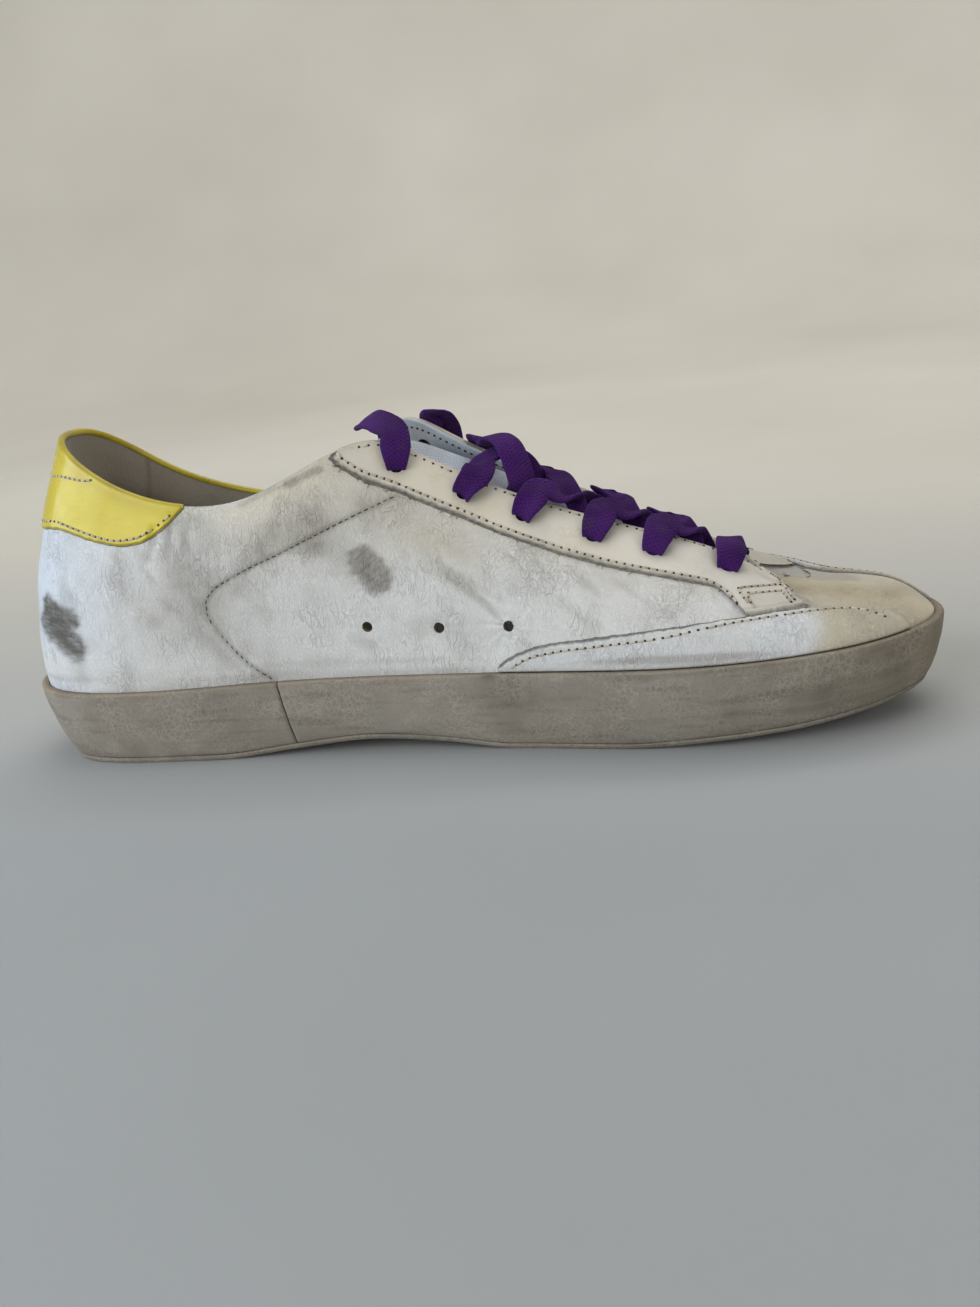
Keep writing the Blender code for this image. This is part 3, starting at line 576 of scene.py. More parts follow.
def rubber_tone(at, s, p):
    """Colour of the side: greige with dark streaks low down, browner at the toe, a tan lip on top."""
    rubber, vein, dirt, tan = tints("rubber", "vein", "dirt", "lip")
    t = along_inner(at)
    cloud = waves(p, 41, .045) * .5 + waves(p, 42, .014) * .3
    tone = blend(rubber, vein, .35 + .55 * cloud)
    tone = blend(tone, tan, np.clip(1.6 - s * 34, 0, 1) * (.35 + .4 * np.clip((.45 - t) * 3, 0, 1)))
    low = p * np.array([.35, .35, 4.0])
    streak = np.clip(waves(low, 43, .020) * 1.6 - .25, 0, 1) * np.clip((t - .62) * 5, 0, 1)
    tone = blend(tone, dirt * .45, streak * .55)
    tone = blend(tone, rubber * np.array([.74, .64, .46]), np.clip((t - .80) * 5, 0, 1) * .80)
    tone = blend(tone, dirt * .45, np.clip((s - .80) * 6, 0, 1) * (.35 + .3 * cloud))
    tone = blend(tone, dirt * .50, np.exp(-((t - .58) / .035) ** 2) * np.exp(-((s - .2) / .25) ** 2) * .7)
    tone = blend(tone, rubber * np.array([.80, .78, .76]), np.exp(-((t - .30) / .08) ** 2) * .45)
    tone = blend(tone, dirt * .50, np.clip(waves(low, 44, .013) * 1.8 - .75, 0, 1) * .5)
    return np.clip(tone, 0, 1)


def lining_tone(at, v, p):
    """Colour of the lining: taupe round the heel, pale blue-grey towards the throat."""
    taupe, pale, dirt = tints("lining", "throat", "dirt")
    t = along_inner(at)
    # painted light: the throat's blue-grey lifted by 1.35
    tone = blend(taupe, np.minimum(pale * 1.35, .97), np.clip((t - .45) * 14, 0, 1))
    # random dirt, and painted shade: darker low down, deep inside the shoe
    tone = blend(tone, dirt * .7, .10 + .14 * waves(p, 51, .02) + .25 * np.clip((.3 - v) * 3, 0, 1))
    seam = np.exp(-((t - .135) / .0022) ** 2)
    return np.clip(blend(tone, taupe * .35, seam * .7 * (t < .3)), 0, 1)


# ------------------------------------------------------------------ materials
class Net:
    """A node tree written as calls: each makes one node and returns its output."""

    def __init__(self, name, roughness, **fixed):
        self.material = bpy.data.materials.new(name)
        self.material.use_nodes = True
        self.tree = self.material.node_tree
        self.shader = self.tree.nodes["Principled BSDF"]
        self.shader.inputs["Roughness"].default_value = roughness
        for key, value in fixed.items():
            self.shader.inputs[key.replace("_", " ")].default_value = value

    def plug(self, socket, value):
        if isinstance(value, bpy.types.NodeSocket):
            self.tree.links.new(value, socket)
        elif value is not None:
            socket.default_value = value

    def node(self, kind, inputs=(), output=0, **settings):
        made = self.tree.nodes.new(kind)
        for key, value in settings.items():
            setattr(made, key, value)
        for key, value in dict(inputs).items():
            self.plug(made.inputs[key], value)
        return made.outputs[output]

    def place(self, scale=(1, 1, 1), turn=(0, 0, 0), of="Object"):
        out = self.node("ShaderNodeTexCoord", output=of)
        return self.node("ShaderNodeMapping", {"Vector": out, "Scale": scale, "Rotation": turn})

    def noise(self, scale, detail=3.0, vector=None, distortion=0.0, rough=.5):
        return self.node("ShaderNodeTexNoise", {
            "Vector": vector or self.place(), "Scale": scale, "Detail": detail,
            "Distortion": distortion, "Roughness": rough})

    def cells(self, scale, vector=None, feature="DISTANCE_TO_EDGE", random=1.0):
        return self.node("ShaderNodeTexVoronoi", {
            "Vector": vector or self.place(), "Scale": scale, "Randomness": random},
            feature=feature, output="Distance")

    def remap(self, value, a, b, c=0.0, d=1.0):
        return self.node("ShaderNodeMapRange", {0: value, 1: a, 2: b, 3: c, 4: d})

    def sum(self, a, b, operation="ADD"):
        return self.node("ShaderNodeMath", {0: a, 1: b}, operation=operation)

    def times(self, a, b):
        return self.sum(a, b, "MULTIPLY")

    def mix(self, share, a, b, kind="MIX"):
        return self.node("ShaderNodeMix", {0: share, 6: a, 7: b}, output=2, data_type="RGBA",
                         blend_type=kind)

    def tone(self, name="Tone"):
        return self.node("ShaderNodeAttribute", output="Color", attribute_name=name)

    def finish(self, colour, rough=None, bumps=()):
        """Colour and roughness, and bumps as (height socket, depth in metres, strength)."""
        self.plug(self.shader.inputs["Base Color"], colour)
        if rough is not None:
            self.plug(self.shader.inputs["Roughness"], rough)
        last = None
        for height, depth, strength in bumps:
            last = self.node("ShaderNodeBump", {"Height": height, "Distance": depth,
                                                "Strength": strength, "Normal": last})
        if last:
            self.plug(self.shader.inputs["Normal"], last)
        return self.material


def once(build):
    """A material is made the first time that it is asked for."""
    def get():
        name = build.__name__
        return bpy.data.materials.get(name) or build(name)
    return get


def wrinkles(net, scale, stretch, turn, width):
    """Thin wandering creases: the lines where a stretched noise passes its middle value."""
    field = net.noise(scale, 2.5, net.place(stretch, turn), distortion=.6, rough=.55)
    return net.remap(net.sum(net.sum(field, .5, "SUBTRACT"), 0.0, "ABSOLUTE"), 0, width, 1, 0)


@once
def worn_leather(name):
    """Vertex tone under fine wrinkles in two directions, pores and rubbed specks; satin."""
    net = Net(name, .5, Coat_Weight=.05, Coat_Roughness=.4, Specular_IOR_Level=.40)
    soft = net.noise(95, 4)
    one = wrinkles(net, 420, (1, 1, .42), (0, .55, 0), .045)
    two = wrinkles(net, 520, (1, 1, .36), (0, -.75, .2), .040)
    fine = wrinkles(net, 1150, (1, 1, .6), (0, .2, 0), .07)
    mask = net.remap(net.noise(75, 3), .42, .62)
    other = net.remap(net.noise(68, 3, net.place((1, 1, 1), (.4, .3, 1))), .45, .64)
    crease = net.sum(net.times(one, mask), net.times(two, other), "MAXIMUM")
    crease = net.sum(crease, net.times(fine, .35), "MAXIMUM")
    pores = net.noise(2400, 2)
    speck = net.remap(net.noise(640, 5, rough=.75), .62, .76)
    rub = net.remap(net.noise(70, 6, net.place((.35, .35, 4)), rough=.7), .55, .75)
    colour = net.mix(net.remap(soft, .3, .75, 0, .12), net.tone(), (.44, .40, .34, 1))
    # painted shade: the wrinkles darkened
    colour = net.mix(net.times(crease, .17), colour, (.20, .18, .155, 1))
    colour = net.mix(net.times(speck, .20), colour, (.27, .24, .20, 1))
    colour = net.mix(net.times(rub, .10), colour, (.33, .31, .29, 1))
    return net.finish(colour, net.remap(soft, .3, .7, .42, .62),
                      [(net.times(crease, -1), .00034, .75),
                       (pores, .00007, .40), (soft, .0006, .16)])


@once
def cream_leather(name):
    """Vertex tone, smoother than the upper, with soft mottling and faint wrinkles."""
    net = Net(name, .45, Coat_Weight=.08, Coat_Roughness=.32, Specular_IOR_Level=.45)
    soft = net.noise(120, 4)
    crease = net.times(wrinkles(net, 500, (.45, 1, 1), (.3, .5, .3), .035),
                     net.remap(net.noise(90, 3), .50, .66))
    pores = net.noise(2400, 2)
    colour = net.mix(net.remap(soft, .3, .75, 0, .16), net.tone(), (.48, .41, .31, 1))
    # painted shade: the wrinkles darkened
    colour = net.mix(net.times(crease, .16), colour, (.24, .205, .16, 1))
    return net.finish(colour, net.remap(soft, .3, .7, .38, .56),
                      [(net.times(crease, -1), .0002, .42),
                       (pores, .00005, .30), (soft, .0005, .14)])


@once
def yellow_leather(name):
    """Coated yellow leather: glossy, fine scratches, vertex tone for grime."""
    net = Net(name, .32, Coat_Weight=.35, Coat_Roughness=.12, Specular_IOR_Level=.45)
    soft = net.noise(160, 4)
    grain = net.noise(1400, 2)
    scratch = net.remap(net.noise(230, 3, net.place((1, 1, 9), (.2, .5, 0)), rough=.6), .60, .70)
    colour = net.mix(net.remap(soft, .35, .75, 0, .30), net.tone(), (.55, .38, .01, 1))
    colour = net.mix(net.times(scratch, .25), colour, (.33, .22, .04, 1))
    rough = net.remap(soft, .3, .7, .20, .40)
    return net.finish(colour, rough, [(grain, .00005, .3), (soft, .0005, .22),
                                      (net.times(scratch, -1), .00008, .3)])


@once
def side_rubber(name):
    """Greige rubber: a net of pale hairlines about a millimetre apart, pits and smeared dirt; matt."""
    net = Net(name, .75, Specular_IOR_Level=.3)
    warp = net.node("ShaderNodeVectorMath", {0: net.place((1, 1, .8)), 1: net.node(
        "ShaderNodeVectorMath", {0: net.node("ShaderNodeTexNoise", {
            "Vector": net.place(), "Scale": 700.0, "Detail": 2.0}, output=1), 3: .0016},
        operation="SCALE")}, operation="ADD")
    wide = net.noise(75, 5, net.place((1, 1, .7)), rough=.65)
    hair = net.remap(net.cells(640, warp), 0, .13, 1, 0)
    coarse = net.remap(net.cells(300, warp), 0, .06, 1, 0)
    patchy = net.remap(net.noise(85, 4), .36, .60)
    vein = net.times(net.sum(hair, coarse, "MAXIMUM"), patchy)
    level = net.remap(net.noise(150, 5, net.place((.16, .16, 2.6)), rough=.7), .56, .72)
    pits = net.remap(net.noise(950, 4, rough=.7), .60, .72)
    grit = net.noise(1900, 3)
    colour = net.mix(net.remap(wide, .28, .72, 0, .45), net.tone(), (.36, .315, .25, 1))
    colour = net.mix(net.times(vein, .42), colour, (.50, .455, .385, 1))
    colour = net.mix(net.times(pits, .40), colour, (.13, .11, .085, 1))
    colour = net.mix(net.times(level, .34), colour, (.14, .118, .092, 1))
    return net.finish(colour, net.remap(wide, .3, .7, .64, .88),
                      [(vein, .00016, .45), (net.times(pits, -1), .00022, .45),
                       (grit, .0001, .3), (wide, .0008, .3)])


@once
def tread_rubber(name):
    """Dark dirty rubber with dust in its pores."""
    net = Net(name, .85, Specular_IOR_Level=.25)
    dust = net.noise(260, 5, rough=.68)
    grit = net.noise(1500, 3)
    colour = net.mix(net.remap(dust, .35, .7, 0, .6), net.tone(), (.33, .29, .235, 1))
    return net.finish(colour, net.remap(dust, .3, .7, .7, .95), [(grit, .00016, .5), (dust, .0008, .3)])


@once
def napped_lining(name):
    """Brushed lining: short nap in two directions, sheen, vertex tone."""
    net = Net(name, .95, Sheen_Weight=.35, Sheen_Roughness=.5, Specular_IOR_Level=.15)
    nap = net.noise(1700, 4, net.place((1, 1, .35), (.3, 0, .4)), rough=.7)
    broad = net.noise(110, 4)
    colour = net.mix(net.remap(nap, .30, .72, 0, .34), net.tone(), (.20, .18, .155, 1))
    colour = net.mix(net.remap(broad, .35, .7, 0, .16), colour, (.33, .31, .28, 1))
    return net.finish(colour, net.remap(broad, .3, .7, .88, 1), [(nap, .0004, .6), (broad, .001, .25)])


@once
def woven_textile(name):
    """Plain weave of a tongue: crossing threads from two wave patterns on the UV map."""
    net = Net(name, .9, Sheen_Weight=.2, Sheen_Roughness=.5, Specular_IOR_Level=.2)
    warp = net.node("ShaderNodeTexWave", {"Vector": net.place((1, 1, 1), of="UV"), "Scale": 360.0,
                                          "Distortion": .4}, output=1, bands_direction="X")
    weft = net.node("ShaderNodeTexWave", {"Vector": net.place((1, 1, 1), of="UV"), "Scale": 360.0,
                                          "Distortion": .4}, output=1, bands_direction="Y")
    weave = net.sum(warp, weft, "MAXIMUM")
    broad = net.noise(80, 4)
    colour = net.mix(net.remap(weave, .2, 1, .35, 0), net.tone(), (.22, .23, .25, 1))
    colour = net.mix(net.remap(broad, .35, .7, 0, .3), colour, (.40, .38, .34, 1))
    return net.finish(colour, .9, [(weave, .00025, .6), (broad, .0008, .2)])


@once
def purple_cotton(name):
    """Flat woven lace: chevrons across the band from the UV map, fuzz and rubbed edges."""
    net = Net(name, .92, Sheen_Weight=.05, Sheen_Roughness=.45, Specular_IOR_Level=.08)
    uv = net.node("ShaderNodeSeparateXYZ", {0: net.node("ShaderNodeTexCoord", output="UV")}, output=0)
    apart = uv.node
    across, along = apart.outputs[0], apart.outputs[1]
    chevron = net.times(net.sum(net.times(across, 2.0), 1.0, "PINGPONG"), .9)
    count = net.sum(net.times(along, 820.0), net.times(chevron, 3.0))
    row = net.sum(net.times(count, 6.2832), 0.0, "SINE")
    rib = net.sum(net.times(net.times(across, 9.0), 6.2832), 0.0, "SINE")
    weave = net.sum(net.times(row, rib), net.times(row, .6))
    fuzz = net.noise(1900, 4, rough=.7)
    broad = net.noise(140, 4)
    colour = net.mix(net.remap(weave, -1.2, 1.2, .55, 0), net.tone(), (.018, .004, .040, 1))
    colour = net.mix(net.remap(fuzz, .60, .80, 0, .22), colour, (.13, .05, .24, 1))
    colour = net.mix(net.remap(broad, .40, .70, 0, .18), colour, (.060, .025, .10, 1))
    return net.finish(colour, net.remap(broad, .3, .7, .85, 1),
                      [(weave, .00022, .8), (fuzz, .0003, .5)])


def thread(name, dirt, span, near, far):
    """Twisted sewing thread in two colours, mixed where a noise is within span."""
    net = Net(name, .8, Specular_IOR_Level=.25)
    share = net.remap(net.noise(*dirt, rough=.65), *span)
    twist = net.noise(3200, 2, net.place((1, .35, .35), (0, .6, 0)))
    return net.finish(net.mix(share, near, far), .8, [(twist, .0001, .5)])


@once
def cream_thread(name):
    """Cream thread, dirtied here and there."""
    return thread(name, (150, 5), (.44, .68, 0, .75), (.66, .60, .49, 1), (.27, .225, .17, 1))


@once
def dark_thread(name):
    """Blue-black thread, worn paler in places."""
    return thread(name, (420, 4), (.42, .70), (.040, .040, .052, 1), (.25, .235, .21, 1))


@once
def needle_hole(name):
    """Dark pricked hole with dirt in it."""
    net = Net(name, .9, Specular_IOR_Level=.2)
    dirt = net.noise(900, 3)
    colour = net.mix(net.remap(dirt, .3, .7), (.035, .03, .026, 1), (.11, .09, .07, 1))
    return net.finish(colour, .9, [(dirt, .0001, .4)])


@once
def raw_leather(name):
    """Cut leather edge: fibrous grey-brown."""
    net = Net(name, .9, Specular_IOR_Level=.2)
    fibre = net.noise(1500, 4, rough=.7)
    colour = net.mix(net.remap(fibre, .3, .7), (.10, .085, .07, 1), (.30, .26, .21, 1))
    return net.finish(colour, .9, [(fibre, .0003, .6)])


@once
def pale_floor(name):
    """Plain pale sheet, warm, with a faint unevenness."""
    net = Net(name, .85, Specular_IOR_Level=.25)
    look = bpy.context.scene.sneaker_looks
    # painted shade and bluish light: the floor near the camera darker and bluer
    near = tuple(a * b for a, b in zip(look.floor[:3], (.60, .66, .76))) + (1,)
    apart = net.node("ShaderNodeSeparateXYZ", {0: net.place()}, output=1)
    broad = net.noise(2.5, 3)
    colour = net.mix(net.remap(apart, -.10, .32), near, tuple(look.floor))
    colour = net.mix(net.remap(broad, .3, .7, 0, .3), colour, (.60, .585, .55, 1), "MULTIPLY")
    return net.finish(colour, .85, [(net.noise(900, 2), .0001, .1)])


# ------------------------------------------------------------------ shapes
def hole_cutters(places, bore, depth, sides=26):
    """Closed cylinders through the wall at places (t, v), joined in one hidden mesh."""
    turn = np.linspace(0, 2 * np.pi, sides, endpoint=False)
    points, faces = [], []
    for k, (t, v) in enumerate(places):
        c, n = skin(t, v), normal(t, v)
        east = unit(np.cross([0, 0, 1.0], n))
        north = np.cross(n, east)
        ring = (np.cos(turn)[:, None] * east + np.sin(turn)[:, None] * north) * bore / 2
        points += [c + ring - n * depth, c + ring + n * depth]
        a = np.arange(sides) + k * 2 * sides
        b = np.roll(a, -1)
        faces += np.stack([a, b, b + sides, a + sides], -1).tolist()
        faces += [(a + sides).tolist(), a[::-1].tolist()]
    mesh = bpy.data.meshes.new("cutters")
    mesh.from_pydata(np.concatenate(points), [], faces)
    mesh.materials.append(raw_leather())
    return placed("cutters", mesh)


def cut(thing, places, bore, depth):
    """Cuts round holes in a finished mesh and keeps the result as its mesh. Where the exact way
    comes back empty, the manifold way makes the cut."""
    cutter = hole_cutters(places, bore, depth)
    made = thing.modifiers.new("holes", "BOOLEAN")
    made.object, made.operation, made.material_mode = cutter, "DIFFERENCE", "TRANSFER"
    for solver in ("EXACT", "MANIFOLD"):
        made.solver = solver
        graph = bpy.context.evaluated_depsgraph_get()
        mesh = bpy.data.meshes.new_from_object(thing.evaluated_get(graph), depsgraph=graph)
        if len(mesh.polygons):
            break
    thing.modifiers.clear()
    old, name = thing.data, thing.data.name
    thing.data = mesh
    bpy.data.meshes.remove(old)
    mesh.name = name
    bpy.data.objects.remove(cutter)
    mesh.set_sharp_from_angle(angle=math.radians(55))


def padding(at, v):
    """How much thicker than the wall the collar is inside: a roll under its thinned edge."""
    t = along_inner(at)
    roll = .0020 * np.exp(-((v - .80) / .085) ** 2) * np.clip((.46 - t) * 9, 0, 1)
    return roll - .50 * WALL * np.exp(-((1 - v) / .05) ** 2)


def upper_grids():
    """Outer face from the sole up, a half round over the edge, and the lining down again."""
    at = np.linspace(0, 2, 541)[:, None]
    low = np.array([-1.4, -.9, -.45])
    v = np.concatenate([low, np.linspace(0, 1, 112)])[None, :]
    outer = skin(at, v)
    inside_v = np.concatenate([np.linspace(1, 0, 34), low[::-1]])[None, :]
    inner = lining_face(*np.broadcast_arrays(at, inside_v), 0.0)
    arc = rim_arc(outer[:, -1], inner[:, 0], 9)
    floor = np.stack([inner[:, -1], outer[:, 0]], 1)
    grids = [outer, arc, inner, floor]
    for g in grids:
        g[-1] = g[0]
    return at, v, inside_v, grids


def build_upper():
    """The folded upper with lining, eyelets and vent holes."""
    at, v, inside_v, grids = upper_grids()
    white, cream, dirt, throat = tints("leather", "cream", "dirt", "throat")
    outer = leather_tone(*np.broadcast_arrays(at, v), grids[0])
    edge = blend(white, dirt, .35 + .3 * waves(grids[1], 61, .02))
    t = along_inner(at)[:, :, None]
    cream = blend(cream, dirt, .3 + .25 * waves(grids[1], 62, .012))
    # painted light: the throat's blue-grey lifted by 1.3 where the collar's rim turns inwards
    pale = np.minimum(throat * 1.3, .97)
    inward = np.broadcast_to(np.clip(np.linspace(-2.2, 2.8, grids[1].shape[1]), 0, 1), cream.shape[:2])
    edge = np.where(t > .45, blend(cream, pale, inward), edge)
    inner = lining_tone(*np.broadcast_arrays(at, inside_v), grids[2])
    base = np.broadcast_to(dirt, grids[3].shape)
    tones = flat_list([outer, edge, inner, base])
    thing = piece("upper_leather", grids, [worn_leather(), napped_lining()], ("upper",),
                  tones, parts=[0, 0, 1, 1])
    sizes = measures()
    cut(thing, ALL_EYELETS, sizes.eyelet_bore, CUT_DEPTH)
    cut(thing, VENTS, sizes.vent_bore, CUT_DEPTH)
    return thing


def layer(name, at, v, thickness, low, tones, materials, replaced=(), raw=.0011, seed=0):
    """Closed leather layer over the folded upper, thin and frayed along its cut edges."""
    outer, inner, d = slab(at, v, thickness, low, raw, seed)
    tone = tones(at, v, outer, d)
    grids, values = [outer, inner[:, ::-1]], [tone, tone[:, ::-1]]
    return piece(name, grids, materials, replaced,
                 flat_list(values))


def rim_arc(a, b, count):
    """Half rounds from points a outside to points b inside, over the top of an edge."""
    way = unit(a - b)
    up = unit(np.cross(way, unit(np.gradient((a + b) / 2, axis=0))))
    up = up * np.sign(up[:, 2:])
    turn = np.linspace(0, np.pi, count)[None, :, None]
    radius = np.linalg.norm(a - b, axis=-1)[:, None, None] / 2
    return ((a + b) / 2)[:, None] + radius * (way[:, None] * np.cos(turn) + up[:, None] * np.sin(turn))


def heel_tab_grid(rows=340, columns=64):
    """Place of each point of the tab: from its ragged lower line up to the collar's edge."""
    t = np.linspace(-HEEL_TAB["t"][-1], HEEL_TAB["t"][-1], rows)[:, None]
    low = smooth(HEEL_TAB["t"], HEEL_TAB["low"], np.abs(t))
    low = low + .0016 * waves(upper(t, low), 74, .003)
    return t, low + (1 - low) * spread(columns, .62)[None, :]


def lining_face(t, v, distance):
    """Points on the lining, distance metres off it into the shoe."""
    return off(t, v, relief(t, v) * .8 - WALL - padding(t, v) - distance)


def build_heel_tab():
    """Tab over the back of the collar: raw lower border, half round over the edge, short hem."""
    t, v = np.broadcast_arrays(*heel_tab_grid())
    outer, _, d = slab(t, v, .0010, SUNK, .0007, 75, ends=False, top_open=True)
    yellow, = tints("yellow")
    grime = .08 + .10 * waves(outer, 71, .02) + .22 * np.exp(-((v - .97) / .03) ** 2)
    tone = blend(yellow, [.33, .24, .02], grime)
    tone = blend(tone, TAB_CUT, 1 / (1 + np.exp(d / .00012)) * .9)
    b = lining_face(t[:, -1], v[:, -1], .0003)
    arc = rim_arc(outer[:, -1], b, 11)
    hem_t = np.broadcast_to(t[:, :1], (len(t), 6))
    hem_v = np.broadcast_to(np.linspace(1, .989, 6)[None, :], hem_t.shape)
    hem = lining_face(hem_t, hem_v, np.array([.0003, .0003, .0003, .0002, .0001, -.0006]))
    hem[:, 0] = b
    under = off(t, v, relief(t, v) - .0004)
    grids = [outer, arc, hem, np.stack([hem[:, -1], under[:, -1]], 1), under[:, ::-1],
             np.stack([under[:, 0], outer[:, 0]], 1)]
    dark = np.array([.30, .215, .02])
    tones = [tone, blend(yellow * .85, dark, .35 + .2 * waves(arc, 72, .015)),
             blend(yellow * .8, dark, .6 + .2 * waves(hem, 73, .01))]
    tones += [np.broadcast_to(yellow * .4, g.shape) for g in grids[3:]]
    for k, row in ((0, 1), (-1, -1)):
        rim_line = np.concatenate([outer[k], arc[k], hem[k]])
        back = np.concatenate([under[k], np.repeat(under[k][-1:], len(rim_line) - len(under[k]), 0)])
        cap = np.stack([rim_line, back], 0)[::row]
        grids.append(cap)
        tones.append(np.broadcast_to(TAB_CUT, cap.shape))
    return piece("heel_tab_leather", grids, [yellow_leather()], ("heel_tab",),
                 flat_list(tones))


def eyestay_grid(both=True, columns=46):
    """Place of each point of the eyestay: quadratics from its cut line up to the throat's edge,
    from the inner side round the front to the outer side."""
    w = spread(columns, .62)[None, :]
    along = np.arange(len(EYESTAY))
    last = (len(EYESTAY) - 1) * (2 if both else 1)
    fine = np.linspace(0, last, EYESTAY_ROWS)[:, None]
    index = np.where(fine > len(EYESTAY) - 1, last - fine, fine)
    value = {name: smooth(along, EYESTAY[name], index) for name in EYESTAY.dtype.names}
    arc = lambda a, b, c: a * (1 - w) ** 2 + (4 * b - a - c) * w * (1 - w) + c * w ** 2
    t = arc(value["low_t"], value["mid_t"], value["high_t"])
    v = np.minimum(arc(value["low_v"], value["mid_v"], value["high_v"]), 1.0)
    if both:
        outer = EYESTAY.copy()
        outer["low_t"][14:18], outer["low_v"][14:18], outer["mid_t"][14:18] = np.array(FRONT_OUTER).T
        far = {name: smooth(along, outer[name], index) for name in ("low_t", "low_v", "mid_t")}
        mirrored = fine > len(EYESTAY) - 1
        t = np.where(mirrored, 2 - arc(far["low_t"], far["mid_t"], value["high_t"]), t)
        v = np.where(mirrored, np.minimum(arc(far["low_v"], value["mid_v"], value["high_v"]), 1.0), v)
        ragged = .0018 * waves(upper(t[:, :1], v[:, :1]), 84, .0030)
        v = np.minimum(v + ragged * (1 - w) ** 6, 1.0)
    return t, v


def build_facings():
    """Both facings in one eyestay that goes round the front of the throat."""
    cream, white, dirt, raw = tints("cream", "leather", "dirt", "raw")

    def tones(at, v, p, d):
        t = along_inner(at)
        cloud = waves(p, 81, .03) * .4 + waves(p, 82, .010) * .25
        tone = blend(cream, white, .18 + .35 * cloud + .45 * np.clip((t - .72) * 5, 0, 1))
        tone = blend(tone, dirt, .03 + .10 * cloud + .30 * np.exp(-((1 - v) / .02) ** 2))
        # painted shade: darker where the relief sinks, in creases and the sagging vamp
        folds = np.clip(-relief(at, v, p) / (.5 * MM) - .3, 0, 1)
        tone = blend(tone, dirt, folds * .35)
        for place in ALL_EYELETS:
            r = np.linalg.norm(p - upper(*place), axis=-1)
            tone = blend(tone, dirt * .7, np.exp(-(r / .0032) ** 2) * .5)
        line = 1 / (1 + np.exp(d / .00010))
        grey = blend(raw, raw * 3.2, .20 + .5 * waves(p, 83, .0014) + .8 * np.clip((t - .66) * 4, 0, .6))
        # painted shade of a groove along the sewing row; the mesh has no groove there
        tone = blend(tone, dirt * .7, np.exp(-((d - .0018) / .0004) ** 2) * .28 * (v < .97))
        tone = blend(tone, grey, line * .97)
        return np.clip(blend(tone, dirt * .5, np.exp(-((d - .0003) / .0004) ** 2) * .35), 0, 1)

    at, v = eyestay_grid()
    thing = layer("eyestay_leather", at, v, LAYER, SUNK, tones, [cream_leather()],
                  ("facing_medial", "facing_lateral"), raw=.0014, seed=85)
    cut(thing, ALL_EYELETS, measures().eyelet_bore, .004)


def build_mudguards():
    """Low overlays along both sides of the forefoot, with a raw top border."""
    white, cream, dirt, raw = tints("leather", "cream", "dirt", "raw")

    def tones(at, v, p, d):
        t = along_inner(at)
        cloud = waves(p, 91, .03) * .4 + waves(p, 92, .010) * .25
        tone = white * np.array([1.0, 1.01, 1.03]) + 0 * v[..., None]
        step = t - .862 - (v - .16) * .105
        bright = 1 / (1 + np.exp(-(t - .806 - (v - .136) * .06) * 260))
        tone = blend(tone, np.minimum(white * np.array([1.06, 1.09, 1.14]), .96), bright * .7)
        tone = blend(tone, blend(cream, dirt, .30 + .2 * cloud) * [1, .97, .86],
                     1 / (1 + np.exp(-step * 300)) * .85)
        tone = blend(tone, dirt, .05 + .16 * np.clip(cloud, 0, 1) + .40 * np.exp(-(v / .025) ** 2))
        streak = np.clip(waves(p * np.array([.22, .22, 4.5]), 93, .016) * 1.3 - .3, 0, 1)
        tone = blend(tone, dirt * .8, streak * np.exp(-((v - .06) / .07) ** 2) * .45)
        line = 1 / (1 + np.exp(d / .00010))
        grey = blend(raw * 1.2, raw * 3.0, .40 + .5 * waves(p, 95, .0016))
        return np.clip(blend(tone, grey, line * (v > .02) * .92), 0, 1)

    for name, outer_side in (("medial", False), ("lateral", True)):
        rows = MUDGUARD_OUTER if outer_side else MUDGUARD
        t = np.linspace(rows["t"][0], rows["t"][-1], 320)[:, None]
        low, high = smooth(rows["t"], rows["low"], t), smooth(rows["t"], rows["high"], t)
        high = high + .0018 * waves(upper(t, high), 96, .0032) * (high > .03)
        v = high + (low - high) * spread(44, .62)[None, :]
        t = np.broadcast_to(t, v.shape)
        layer("mudguard_leather_" + name, 2 - t if outer_side else t, v, LAYER, SUNK, tones,
              [worn_leather()], ("mudguard_" + name,), raw=.0008, seed=97)


def wear(p, seed):
    """Unevenness of the rubber's faces, in metres."""
    return (waves(p, seed, .030) * .16 + waves(p, seed + 1, .009) * .08
            + waves(p, seed + 2, .0035) * .04) * MM


def rim_share(at):
    """Share of the side's height at which the strip ends and the rim starts."""
    x, _ = foot(at)
    nx, _ = outward(at)
    low = ground(x + nx * (LEDGE - around(at, "tuck") * SIDE_HEIGHT))
    return 1 - RIM / (side_top(x) - low)


